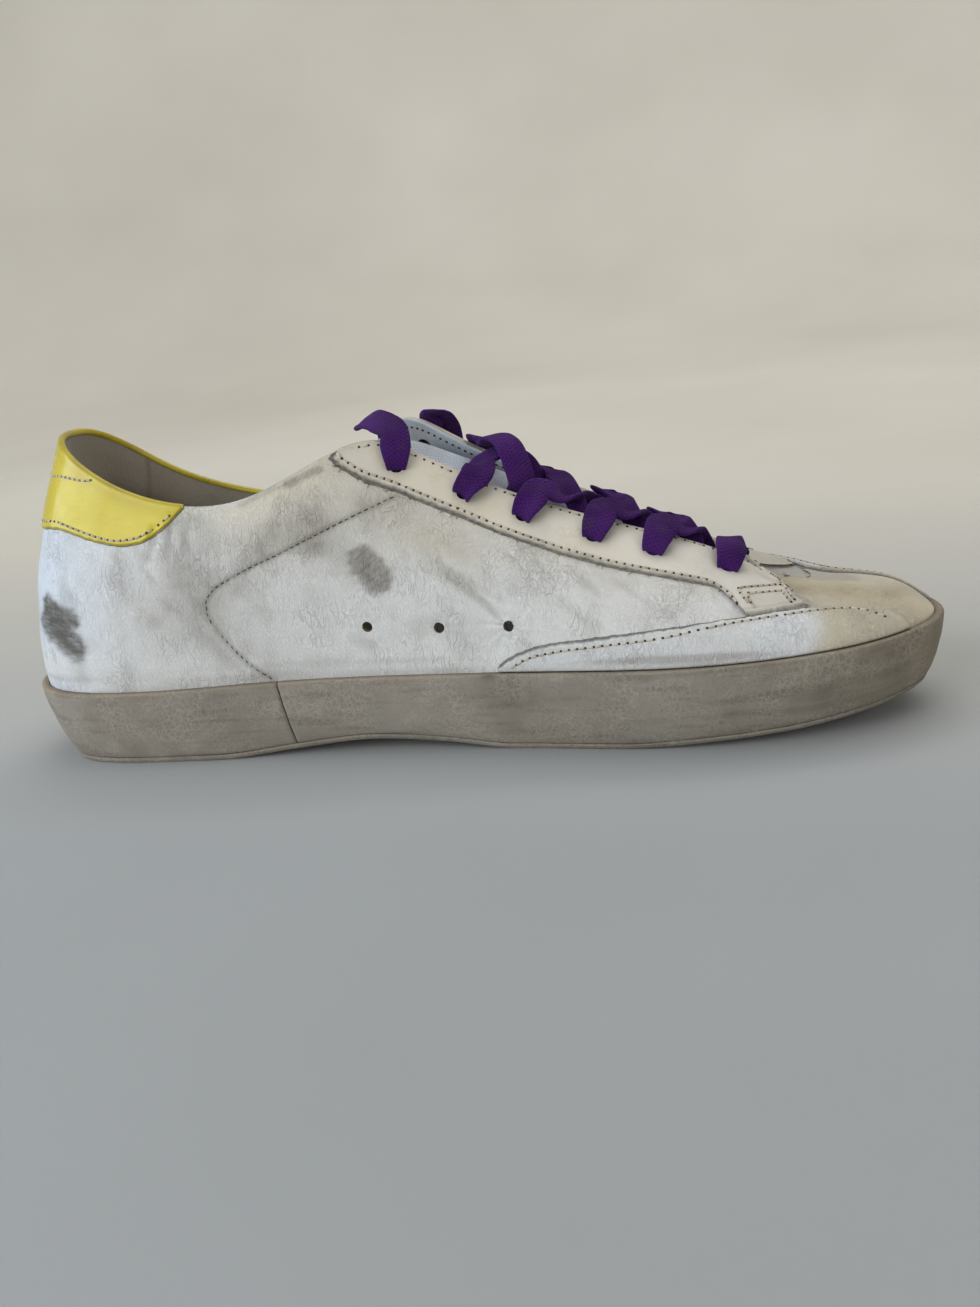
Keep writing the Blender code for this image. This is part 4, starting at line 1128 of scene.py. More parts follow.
def build_side_strip():
    """A band round the sole, open at its butt seam: lip, slightly hollow face, and its back."""
    clear = .00022 / SOLE_LENGTH
    at = np.linspace(SEAM_AT + clear, 2 + SEAM_AT - clear, 641)[:, None]
    end = rim_share(at) - .0001 / SIDE_HEIGHT
    s = np.array([0, 0, .004, .012, .026] + list(np.linspace(.045, .94, 34))
                 + [.965, .985, .997, 1.0])[None, :]
    out = np.array([.0003, .72 * LEDGE, .90 * LEDGE, .98 * LEDGE, 1.02 * LEDGE] + [LEDGE] * 34
                   + [.99 * LEDGE, .95 * LEDGE, .85 * LEDGE, .0003])[None, :]
    down = s * end
    reach = out - .00035 * np.sin(np.pi * s) ** 2
    lean = .0055 * s * (np.exp(-np.abs(at - SEAM_AT) / .02) + np.exp(-np.abs(at - 2 - SEAM_AT) / .02))
    at_full = at + lean
    face = side(at_full, down, reach)
    nx, ny = outward(at)
    way = np.stack([nx, ny, 0 * nx], -1)
    p = face.copy()
    amount = wear(p, 101) * np.clip(s * 30, 0, 1) * np.clip((1 - s) * 30, 0, 1)
    chip = np.linalg.norm((p - side(.56, .03, LEDGE)) / np.array([.0022, .02, .0016]), axis=-1)
    amount = amount - .0011 * np.exp(-chip ** 2)
    ragged = np.clip(waves(p * np.array([1, 1, .1]), 104, .006) - .55, 0, 1) * np.exp(-((s - .03) / .03) ** 2)
    face = face + way * (amount - .0006 * ragged)[..., None]
    back_s = np.linspace(1, 0, 6)[None, :]
    back = side(at + (at_full - at)[:, -1:] * back_s, back_s * end, .0003)
    back[:, 0], back[:, -1] = face[:, -1], face[:, 0]
    caps = []
    for k in (0, -1):
        across = face[k]
        inside = side(at_full[k], s[0] * end[k], .0003)
        inside[0], inside[-1] = across[0], across[-1]
        caps.append(np.stack([across, inside], 0)[::1 if k else -1])
    tone = rubber_tone(np.broadcast_to(at, face.shape[:2]), np.broadcast_to(down, face.shape[:2]), face)
    tone = blend(tone, [.11, .09, .07], np.exp(-chip ** 2) * .6)
    tones = [tone] + [np.broadcast_to([.2, .17, .14], g.shape) for g in [back] + caps]
    return piece("side_strip_rubber", [face, back] + caps, [side_rubber()], ("foxing",),
                 flat_list(tones))


def build_outsole():
    """Hidden core, the rim that stands out below the strip, and the treaded bottom."""
    at = np.linspace(0, 2, 521)
    rim_at = rim_share(at)
    rows = [side(at, MARGIN + .3 / 26, -.0001), side(at, .72, -.0001), side(at, rim_at, -.0001)]
    for share, out in (0.0, .88), (.06, .97), (.30, 1.04), (.60, 1.05), (.86, .98), (1.0, .80):
        rows.append(side(at, rim_at + (1 - rim_at) * share, LEDGE * out))
    for g in rows:
        g[-1] = g[0]
    body = np.stack(rows, 1)
    nx, ny = outward(at)
    uneven = wear(body[:, 4:8], 111) * .8
    body[:, 4:8] = body[:, 4:8] + np.stack([nx, ny, 0 * nx], -1)[:, None] * uneven[..., None]
    body[-1] = body[0]
    count = len(at) - 1
    left, right = body[:count // 2 + 1], body[count - np.arange(count // 2 + 1)]
    top_w = np.linspace(0, 1, 9)[None, :, None]
    w = (spread(91, .9))[None, :, None]
    top = left[:, :1] * (1 - top_w) + right[:, :1] * top_w
    low = left[:, -1][:, None] * (1 - w) + right[:, -1][:, None] * w
    x = low[..., 0] + ORIGIN[0]
    reach = np.minimum(np.linalg.norm(low - low[:, :1], axis=-1), np.linalg.norm(low - low[:, -1:], axis=-1))
    inside = np.clip((reach - .0065) / .0012, 0, 1)
    lugs = np.abs(np.mod(x / .009 + .22 * np.cos((low[..., 1]) / .0045), 1) - .5) * 2
    groove = np.clip((lugs - .62) / .14, 0, 1)
    fine = .5 + .5 * np.cos(2 * np.pi * (low[..., 1] / .0042))
    land = 1 - np.clip((x / SOLE_LENGTH - .33) * 20, 0, 1) * np.clip((.53 - x / SOLE_LENGTH) * 20, 0, 1)
    deep = (groove * .0014 * land + fine * .00035 * land + .0003 * (1 - land)) * inside
    low[..., 2] = np.maximum(low[..., 2], 0) + deep
    grids = [body, top, low[:, ::-1]]
    tread, dirt = tints("tread", "dirt")
    at_body = np.broadcast_to(at[:, None], body.shape[:2])
    tones = [rubber_tone(at_body, np.full(body.shape[:2], .97), body),
             np.broadcast_to(tread, top.shape),
             blend(tread * 1.05, dirt * .45,
                   groove * .6 * inside + .2 + .3 * waves(low, 113, .03))[:, ::-1]]
    return piece("outsole_rubber", grids, [side_rubber(), tread_rubber()], ("outsole",),
                 flat_list(tones), parts=[0, 1, 1])


def build_insole():
    """Footbed: a slab cupped at its border and worn down under the heel and the ball."""
    at = np.linspace(0, 2, 321)
    inset = -(WALL + .0006)
    ring = side(at, MARGIN, inset)
    ring[-1] = ring[0]
    count = len(at) - 1
    left, right = ring[:count // 2 + 1], ring[count - np.arange(count // 2 + 1)]
    w = spread(61, .85)[None, :, None]
    low = left[:, None] * (1 - w) + right[:, None] * w
    border = np.minimum(np.linalg.norm(low - low[:, :1], axis=-1), np.linalg.norm(low - low[:, -1:], axis=-1))
    heel = np.exp(-(((low[..., 0] + .105) / .030) ** 2 + (low[..., 1] / .022) ** 2))
    ball = np.exp(-(((low[..., 0] - .045) / .040) ** 2 + ((low[..., 1] - .004) / .030) ** 2))
    height = .0040 + .0016 * np.exp(-(border / .006) ** 2) - .0012 * heel - .0010 * ball
    height = height + .0003 * waves(low, 121, .02)
    round_off = np.clip(border / .0012, 0, 1)
    top = low.copy()
    top[..., 2] += height * np.sqrt(np.clip(1 - (1 - round_off) ** 2, 0, 1))
    taupe, pale = tints("lining", "throat")
    tone = blend(taupe, pale, np.clip((low[..., 0] + .01) * 30, 0, 1) * .7)
    tone = blend(tone, taupe * .45, (heel * .8 + ball * .6) * (.6 + .3 * waves(low, 122, .012)))
    return piece("insole_footbed", [top, low[:, ::-1]], [napped_lining()], ("insole",),
                 flat_list([tone, tone[:, ::-1]]))


TONGUE = table("t drop tuck half", [
    (0.545, .115, .058, .70), (0.600, .062, .026, .70), (0.680, .042, .014, .70),
    (0.760, .034, .011, .70), (0.850, .030, .011, .72), (0.940, .030, .011, .76)])


def tongue_grid(rows=150, columns=61):
    """Sunk sheet between the two sides: under each side of the throat, sagging between them."""
    t = np.linspace(TONGUE["t"][0], TONGUE["t"][-1], rows)
    drop = smooth(TONGUE["t"], TONGUE["drop"], t) * INSTEP_HEIGHT
    tuck = smooth(TONGUE["t"], TONGUE["tuck"], t) * INSTEP_HEIGHT + .0006
    half = smooth(TONGUE["t"], TONGUE["half"], t)
    near = [off(t, half + (1 - half) * k, -(WALL + tuck)) for k in (0, .5, 1)]
    far = [off(2 - t, half + (1 - half) * k, -(WALL + tuck)) for k in (1, .5, 0)]
    middle = (upper(t, np.ones_like(t)) + upper(2 - t, np.ones_like(t))) / 2
    middle = middle - np.array([0, 0, 1.0]) * (WALL + drop)[:, None]
    top = np.stack(near + [middle] + far, 1)
    fine = np.linspace(0, 6, columns)
    slope = np.gradient(top, axis=1)
    j = np.clip(fine.astype(int), 0, 5)
    s = (fine - j)[None, :, None]
    return cubic(top[:, j], top[:, j + 1], slope[:, j], slope[:, j + 1], s)


def build_tongue():
    """The sheet with its thickness rounded at its borders, in a plain weave."""
    top = tongue_grid()
    up = unit(np.cross(np.gradient(top, axis=0), np.gradient(top, axis=1)))
    up = up * np.sign(up[..., 2:].mean())
    across, along = lengths(top, 1), lengths(top, 0)
    d = np.minimum.reduce([across, across[:, -1:] - across, along, along[-1:] - along])
    s = np.sqrt(np.clip(1 - (1 - np.clip(d / .0016, 0, 1)) ** 2, 0, 1))[..., None]
    middle = top - up * .0017
    bump = (waves(top, 131, .03) * .5 + waves(top, 132, .012) * .25)[..., None] * MM
    over = middle + up * (.0016 * s + bump)
    under = middle - up * .0016 * s + up * bump
    pale, dirt = tints("throat", "dirt")
    # painted light: the throat's blue-grey lifted by 1.3, under random dirt
    tone = blend(np.minimum(pale * 1.3, .97), dirt, .10 + .16 * waves(top, 133, .02))
    tone = flat_list([tone, tone[:, ::-1]])
    uv = np.stack([across, along], -1)
    uv = np.concatenate([uv.reshape(-1, 2), uv[:, ::-1].reshape(-1, 2)])
    return piece("tongue_textile", [over, under[:, ::-1]], [woven_textile()], ("tongue",),
                 tone, uv=uv)


# ------------------------------------------------------------------ lacing
def follow(points, ups, widths, rows):
    """Smooth path through points with its ups and widths: cubic pieces over the run of the points."""
    points, ups, widths = (np.asarray(x, float) for x in (points, ups, widths))
    knots = np.append(0, np.cumsum(np.linalg.norm(np.diff(points, axis=0), axis=1)))
    at = np.linspace(0, knots[-1], rows)
    slope = np.gradient(points, knots, axis=0)
    j = np.clip(np.searchsorted(knots, at, side="right") - 1, 0, len(knots) - 2)
    h = (knots[j + 1] - knots[j])[:, None]
    s = ((at - knots[j])[:, None]) / h
    path = cubic(points[j], points[j + 1], h * slope[j], h * slope[j + 1], s)
    up = np.stack([np.interp(at, knots, ups[:, k]) for k in range(3)], -1)
    return path, unit(up), np.interp(at, knots, widths), at / knots[-1]


def band(path, up, width, thickness, cup=0.0, seed=1, sides=24):
    """A flat band carried along a path: a flattened oval across, its edges folded up where it is narrow."""
    ahead = unit(np.gradient(path, axis=0))
    across = unit(np.cross(ahead, up))
    over = np.cross(across, ahead)
    full = measures().lace_width
    thick = thickness * np.clip(full / width, .9, 2.6) ** .5
    turn = np.linspace(0, 2 * np.pi, sides + 1)
    x = np.sign(np.cos(turn)) * np.abs(np.cos(turn)) ** .80
    z = np.sign(np.sin(turn)) * np.abs(np.sin(turn)) ** .80
    fold = np.clip(1 - width / full, 0, .7)[:, None]
    half = (width * (.5 + .03 * waves(path, seed, .012)))[:, None]
    rise = (thick / 2)[:, None] * z + .00022 * np.sin(3 * x + seed) * (1 + 0 * half)
    rise = rise + (cup * half / full * 2 + fold * .0034) * (x ** 2 - .35)
    ring = path[:, None] + across[:, None] * (x * half)[..., None] + over[:, None] * rise[..., None]
    ring[:, -1] = ring[:, 0]
    run = np.append(0, np.cumsum(np.linalg.norm(np.diff(path, axis=0), axis=1)))
    share = (x + 1) / 2 + 0 * half
    uv = np.stack([share, np.broadcast_to(run[:, None], share.shape)], -1)
    grids, uvs = [ring], [uv]
    halfway = sides // 2
    for k, way in ((0, 1), (-1, -1)):
        loop = ring[k, :-1]
        top, bottom = loop[:halfway + 1], loop[-np.arange(halfway + 1) % sides]
        grids.append(np.stack([top, bottom], 0)[::-way])
        uvs.append(np.full(grids[-1].shape[:2] + (2,), run[k]))
    return grids, uvs


def lace_piece(name, path, up, width, replaced=(), cup=0.0, seed=1):
    """One pass of the lace as a piece, its purple a little uneven."""
    sizes = measures()
    grids, uvs = band(path, up, width, sizes.lace_thickness, cup, seed)
    points = flat_list(grids)
    purple, = tints("lace")
    tone = blend(purple, purple * 1.9 + .01, .35 + .4 * waves(points, seed + 200, .015))
    tone = blend(tone, [.08, .06, .09], np.clip(waves(points, seed + 201, .006) - .45, 0, 1) * .4)
    return piece(name, grids, [purple_cotton()], replaced, tone,
                 uv=np.concatenate([u.reshape(-1, 2) for u in uvs]))


def out_of_hole(t, v, s, bulge, lift=.0038):
    """Start of a pass: up through the eyelet, folded, then a wide puffed petal to the edge at s."""
    full = measures().lace_width
    upwards = np.array([0, 0, 1.0])
    n, hole, edge = normal(t, v), skin(t, v), upper(s, 1.0)
    e = unit(edge - hole)
    e = unit(e - n * (e @ n))
    rim_way = unit(normal(s, .95) + upwards * .8)
    lift = lift + bulge
    points = [hole - n * .0050, hole - n * .0008, hole + n * .0022 - e * .0002,
              hole * .78 + edge * .22 + n * lift * .95, hole * .42 + edge * .58 + n * lift * 1.12,
              edge + rim_way * lift]
    ups = [unit(n * .2 - e), unit(n * .4 - e), unit(n - e * .8), unit(n - e * .2), n, unit(n + rim_way)]
    widths = [.0036, .0042, .0068, full * .90, full * 1.0, full * .92]
    return points, ups, widths


def lace_run(first, s1, second, s2, rise, over=False, bulge=.0004, pinch=.8):
    """Way of the lace: out of one eyelet, over its edge at s1, across, under the far edge at s2
    (or over it and into the other eyelet), and up into the other eyelet from below."""
    sizes = measures()
    full, thick = sizes.lace_width, sizes.lace_thickness
    upwards = np.array([0, 0, 1.0])
    (t2, v2) = second
    near = first[0] < 1
    points, ups, widths = out_of_hole(*first, s1, bulge, .0038 if near else .0018)
    if over:
        tail, tail_ups, tail_widths = (x[::-1] for x in out_of_hole(t2, v2, s2, bulge, .0018))
        middle, turned = (points[-1] + tail[0]) / 2 + upwards * rise, upwards
    else:
        edge1, edge2 = upper(s1, 1.0), upper(s2, 1.0)
        n2, hole2 = normal(t2, v2), skin(t2, v2)
        aside = unit(edge1 - edge2)
        below = edge2 + aside * full * .30 - upwards * (thick * .8 + .0004)
        tail = [below, off(s2, .985, -(WALL + thick * .75)),
                off(t2, v2 * .5 + .5, -(WALL + thick * .8)), hole2 - n2 * (WALL + thick * .9)]
        e2 = unit(normal(s2, .95) + upwards)
        tail_ups = [unit(e2 + upwards), e2, unit(normal(t2, v2) + e2), n2]
        tail_widths = [full * pinch, full * .85, full * .75, .0045]
        onward = (upper(s1 + (.020 if near else -.012), 1.0) - aside * .0030
                  + upwards * (.0030 if near else .0022))
        points, ups = points + [onward], ups + [unit(upwards + (.7 if near else .1) * aside)]
        widths = widths + [full * (.90 if near else .8)]
        middle = onward * .45 + below * .55 + upwards * rise
        turned = unit(upwards + (.5 if near else 0) * aside)
    points = points + [middle] + tail
    ups = ups + [turned] + tail_ups
    widths = widths + [full * pinch] + tail_widths
    return points, ups, widths


def loop_way(first, second):
    """The slack pass: out of the outer second eyelet, up in an arch, down inside the inner edge."""
    sizes = measures()
    full, thick = sizes.lace_width, sizes.lace_thickness
    points, ups, widths = out_of_hole(*first, 2 - EDGE_IN[1], .0002, .0016)
    arch = np.array([(.0140, .0030, .0862), (.0178, -.0032, .0886), (.0222, -.0092, .0872),
                     (.0252, -.0130, .0820), (.0264, -.0148, .0755)])
    centre = np.array([.0165, -.0025, .0740])
    t2, v2 = second
    n2, hole2 = normal(t2, v2), skin(t2, v2)
    tail = [off(EDGE_IN[2], .985, -(WALL + thick * .8)), off(t2, v2 * .5 + .5, -(WALL + thick * .8)),
            hole2 - n2 * (WALL + thick * .9)]
    tail_ups = [unit(normal(EDGE_IN[2], .95) + np.array([0, 0, 1.0])), n2, n2]
    points = points[:-1] + [points[-1] + np.array([0, 0, .0006])] + list(arch) + tail
    ups = ups + list(unit(arch - centre)) + tail_ups
    widths = widths + [full] * 3 + [full, full * .9] + [full * .85, full * .7, .0045]
    return points, ups, widths


def build_lacing():
    """The passes between the eyelets, each its own piece, and the slack loop over them."""
    holes = EYELETS
    across = [(2 - t, v) for t, v in holes]
    thick = measures().lace_thickness
    plan = [("lace_toe_bar", lace_run(holes[5], EDGE_OUT[5], across[5], 2 - EDGE_OUT[5], thick * .5, True),
             ("lace_bar_toe",), 1)]
    for k in range(4, 0, -1):
        plan.append(("lace_near_%d" % (k + 1),
                     lace_run(holes[k], EDGE_OUT[k], across[k + 1], 2 - EDGE_IN[k + 1] - .006, thick * .7),
                     ("lace_cross_%d_%d" % (k + 1, k + 2),), 10 + k))
        if k > 1:
            plan.append(("lace_far_%d" % (k + 1),
                         lace_run(across[k], 2 - EDGE_OUT[k] + .012, holes[k + 1], EDGE_IN[k + 1],
                                  thick * 1.5, pinch=.68), (), 20 + k))
    plan.append(("lace_slack_loop", loop_way(across[1], holes[2]), ("lace_loop",), 40))
    for name, (points, ups, widths), replaced, seed in plan:
        if name == "lace_near_2":
            points[6:8] = [np.array([.0150, -.0145, .0826]), np.array([.0212, -.0078, .0846])]
        path, up, width, _ = follow(points, ups, widths, 90)
        path = path + up * (.0002 * waves(path, seed + 300, .014))[:, None]
        lace_piece(name, path, up, width, replaced, cup=.0003, seed=seed)


def lace_end_ways():
    """Routes of the two free ends: over both edges from the inner side, and down the outer side."""
    up = np.array([0, 0, 1.0])
    full = measures().lace_width
    points, ups, widths = out_of_hole(*EYELETS[0], EDGE_OUT[0], .0002)
    far_t = 2 - .490
    toward = np.array([-.5, -.3, 0])
    near = (points[1:] + [np.array([-.0138, -.0135, .0972]), np.array([-.0190, -.0080, .0980]),
                          np.array([-.0232, -.0015, .0966]), np.array([-.0240, .0060, .0948]),
                          off(far_t, .99, .0032), off(far_t, .92, .0030), off(far_t, .86, .0028)],
            ups[1:] + [unit(up + np.array([.1, -.7, 0])), unit(up + toward), unit(up + toward), up,
                       unit(normal(far_t, .95) + up), normal(far_t, .94), normal(far_t, .90)],
            widths[1:] + [full * 1.0, full * .92, full * .92, full, full, full, full * .93])
    t0, v0 = EYELETS[0]
    hole, n = skin(2 - t0, v0), normal(2 - t0, v0)
    hang = np.linspace(.10, 1, 7)
    at, height = 2 - t0 - .014 + .020 * hang ** 2, .88 + (.300 - .88) * hang
    far = ([hole - n * .0008, hole + n * .0030, off(2 - .549, .950, .0042),
            off(2 - .556, .985, .0050) + up * .0006, off(2 - .560, .930, .0066)]
           + list(off(at, height, .0056 - .0034 * hang)),
           [unit(n * .4 - up), unit(n - up * .3), unit(n + up * .2), unit(n * .6 + up), unit(n + up * .3)]
           + list(normal(at, height)),
           [.0036, .0062, full * .9] + [full] * 8 + [full * .93])
    return near, far


def build_lace_ends():
    """Both free ends as cords: what shows of them in the photograph, cut ends left bare."""
    for name, (points, ups, widths), node, lay in zip(
            ("lace_end_near", "lace_end_far"), lace_end_ways(), ("lace_end_medial", "lace_end_lateral"),
            ("loose", "hanging")):
        path, up, width, _ = follow(points, ups, widths, 80)
        thing = lace_piece(name, path, up, width, (node,), cup=.0003, seed=77 if "near" in name else 78)
        length = float(np.linalg.norm(np.diff(path, axis=0), axis=1).sum())


# ------------------------------------------------------------------ sewing
def polyline(places, count=400):
    """Places (t, v) joined by a smooth line, as count points."""
    places = np.array(places, float)
    knots = np.append(0, np.cumsum(np.hypot(*np.diff(places, axis=0).T)))
    at = np.linspace(0, knots[-1], count)
    return smooth(knots, places[:, 0], at), smooth(knots, places[:, 1], at)


def spaced(t, v, pitch, height):
    """Points a stitch apart along a line on the folded upper, with its direction and normal."""
    p = skin(t, v, height)
    run = np.append(0, np.cumsum(np.linalg.norm(np.diff(p, axis=0), axis=1)))
    at = np.arange(pitch * .6, run[-1] - pitch * .3, pitch)
    centre = np.stack([np.interp(at, run, p[:, k]) for k in range(3)], -1)
    way = np.stack([np.interp(at + pitch * .2, run, p[:, k]) - np.interp(at - pitch * .2, run, p[:, k])
                    for k in range(3)], -1)
    place = np.interp(at, run, t), np.interp(at, run, v)
    return centre, unit(way), normal(*place)


def inset(t, v, distance, toward):
    """A line moved over the surface by a distance, towards the place (t, v) of toward."""
    p = upper(t, v)
    dt, dv = toward[0] - t, toward[1] - v
    step = np.linalg.norm(upper(t + dt * .02, v + dv * .02) - p, axis=-1) / .02
    share = distance / np.maximum(step, 1e-6)
    return t + dt * share, v + dv * share


def cut_line(both_t, both_v, skip, distance, toward_column):
    """A row of sewing along the eyestay's cut line, moved in by a distance."""
    low_t, low_v = both_t[skip:, 0], both_v[skip:, 0]
    return inset(low_t, low_v, distance, (both_t[skip:, toward_column], both_v[skip:, toward_column]))


BOX_OUTER = [(.834, .455), (.843, .580), (.875, .640), (.915, .690), (.897, .580), (.886, .500)]
BOX_INNER = [(.834, .415), (.839, .480), (.846, .540), (.870, .580), (.893, .605), (.884, .535), (.876, .455)]
MUD_ROW = [(.580, .022), (.600, .072), (.630, .110), (.670, .142), (.735, .200), (.777, .262), (.815, .318),
           (.855, .362), (.900, .392), (.924, .375), (.934, .315), (.936, .200)]
MUD_ROW_OUTER = MUD_ROW[:6] + [(.815, .312), (.855, .338), (.892, .318), (.922, .256),
                               (.945, .212), (.962, .150)]


def sewing_lines():
    """Rows of stitches as (name, t, v, height over the skin, pitch factor)."""
    rows = []
    heel_t = np.linspace(-.297, .297, 500)
    heel_low = smooth(HEEL_TAB["t"], HEEL_TAB["low"], np.abs(heel_t))
    t, v = inset(heel_t, heel_low, .0026, (heel_t * .78, .88 + 0 * heel_t))
    rows.append(("tab_low", t[v < .985], v[v < .985], .0010, .9))
    upper_row = [(-.172, .992), (-.155, .960), (-.107, .905), (-.05, .845), (0, .822), (.05, .845),
                 (.107, .905), (.155, .960), (.172, .992)]
    t, v = polyline(upper_row)
    rows.append(("tab_high", t, v, .0010, .9))
    stay_t, stay_v = eyestay_grid(both=False)
    corner, front = (int(EYESTAY_ROWS * row / 18) for row in (10.6, 14.9))
    for outer_side in (False, True):
        flip = (lambda t: 2 - t) if outer_side else (lambda t: t)
        name = "lateral" if outer_side else "medial"
        t, v = cut_line(stay_t[:corner], stay_v[:corner], 14, .0030, 30)
        rows.append(("eyestay_" + name, flip(t), v, .0013, .9))
        if not outer_side:
            t, v = cut_line(stay_t[front:], stay_v[front:], 0, .0028, 30)
            rows.append(("eyestay_" + name, t, v, .0013, .9))
        t = np.linspace(.494, .985, 500)
        rows.append(("throat_" + name, flip(t), .974 + 0 * t, .0012, 1.1))
        for box in () if outer_side else (BOX_OUTER, BOX_INNER):
            t, v = polyline(box)
            rows.append(("eyestay_" + name, t, v, .0013, .8))
        t, v = polyline(MUD_ROW_OUTER if outer_side else MUD_ROW)
        rows.append(("mudguard_" + name, flip(t), v, .0012, .95))
        t, v = polyline(QUARTER_SEAM)
        rows.append(("quarter_" + name, flip(t), v, -.00018, .80))
    return rows


def capsules(name, centres, ways, normals, length, width, material, sink=0.0, sides=6):
    """Stitches: each a bent capsule of a few dozen faces, its ends pulled down into the leather."""
    u = np.array([-.5, -.46, -.25, .25, .46, .5])
    size = np.array([.25, .75, 1, 1, .75, .25])
    dip = np.array([-.85, -.35, 0, 0, -.35, -.85])
    turn = np.linspace(0, 2 * np.pi, sides, endpoint=False)
    across = np.cross(normals, ways)
    ring = (u[None, :, None, None] * length * ways[:, None, None]
            + (size[None, :, None] * np.cos(turn) * width / 2)[..., None] * across[:, None, None]
            + (dip[None, :, None] * width * .8 + size[None, :, None] * np.sin(turn) * width * .42
               - sink)[..., None] * normals[:, None, None])
    points = centres[:, None, None] + ring
    count = len(centres)
    i, j = np.meshgrid(np.arange(len(u) - 1), np.arange(sides), indexing="ij")
    a = i * sides + j
    b = i * sides + (j + 1) % sides
    one = np.stack([a, b, b + sides, a + sides], -1).reshape(-1, 4)
    start = (np.arange(count) * len(u) * sides)[:, None, None]
    faces = (one + start).reshape(-1, 4).tolist()
    ends = np.arange(sides)
    for k, order in ((0, ends[::-1]), (len(u) - 1, ends)):
        faces += (order + k * sides + start[:, 0]).tolist()
    mesh = bpy.data.meshes.new(name)
    mesh.from_pydata(points.reshape(-1, 3), [], faces)
    mesh.materials.append(material)
    mesh.shade_smooth()
    thing = placed(name, mesh)
    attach(thing, "root")
    return thing


def build_sewing():
    """Every row of stitches, with a pricked hole between each two."""
    sizes = measures()
    rng = np.random.default_rng(5)
    groups = {}
    for name, t, v, height, factor in sewing_lines():
        centres, ways, normals = spaced(t, v, sizes.stitch_pitch * factor, height)
        groups.setdefault(name, []).append((centres, ways, normals))
    holes = []
    for name, parts in groups.items():
        centres, ways, normals = (np.concatenate(x) for x in zip(*parts))
        turn = rng.normal(0, .09, len(centres))[:, None]
        ways2 = unit(ways + np.cross(normals, ways) * turn)
        keep = rng.uniform(0, 1, len(centres)) > (.45 if "throat" in name else .06)
        if "quarter" not in name:
            holes.append((centres + ways * sizes.stitch_pitch * .45 - normals * .00008, ways, normals))
        if "throat" in name:
            flip = (lambda t: 2 - t) if "lateral" in name else (lambda t: t)
            t = np.linspace(.50, .93, 62)
            through = lining_face(flip(t), .968 + 0 * t, .0001)
            holes.append((through, unit(np.gradient(through, axis=0)), -normal(flip(t), .968 + 0 * t)))
        capsules("stitches_" + name, centres[keep], ways2[keep], normals[keep],
                 sizes.stitch_pitch * .82, sizes.stitch_width,
                 dark_thread() if "quarter" in name else cream_thread())
    # the holes are dark dabs of painted shade, sunk a little into the leather
    centres, ways, normals = (np.concatenate(x) for x in zip(*holes))
    capsules("needle_holes", centres, ways, normals, .0010, .00078, needle_hole(),
             sink=.00010)


def build_frays():
    """Loose fibres along the torn lower edge of each facing: short bent threads."""
    rng = np.random.default_rng(9)
    for name, outer_side in (("medial", False), ("lateral", True)):
        at, v = eyestay_grid(both=False)
        pick = np.sort(rng.choice(np.arange(20, 600), 90, replace=False))
        t, w = at[pick, 0], v[pick, 0] - rng.uniform(-.004, .006, 90)
        if outer_side:
            t = 2 - t
        centres = skin(t, w, rng.uniform(.0001, .0006, 90))
        normals = normal(t, w)
        ways = unit(rng.normal(size=(90, 3)) + np.array([.6, 0, -.3]))
        ways = unit(ways - normals * (ways * normals).sum(-1)[:, None] * .7)
        capsules("fibres_" + name, centres, ways, normals, .0021, .00022, raw_leather(),
                 sides=4)


# ------------------------------------------------------------------ stage
def build_camera():
    """Camera at the photograph's angle: yaw -15.3, pitch -16.5, roll -7.5 degrees."""
    yaw, pitch, roll = (math.radians(a) for a in (-15.3, -16.5, -7.5))
    ahead = Vector((math.sin(yaw) * math.cos(pitch), math.cos(yaw) * math.cos(pitch), math.sin(pitch)))
    right = Vector((math.cos(yaw), -math.sin(yaw), 0))
    up = right.cross(ahead)
    x = right * math.cos(roll) + up * math.sin(roll)
    y = up * math.cos(roll) - right * math.sin(roll)
    data = bpy.data.cameras.new("camera")
    data.sensor_fit, data.sensor_width, data.lens = "AUTO", 36.0, 1400 / 1307 * 36
    data.clip_start, data.clip_end = .01, 30
    camera = placed("camera", data)
    turn = Matrix((x, y, -ahead)).transposed().to_4x4()
    camera.matrix_world = Matrix.Translation(Vector((.11923, -.41338, .1465))) @ turn
    bpy.context.scene.camera = camera


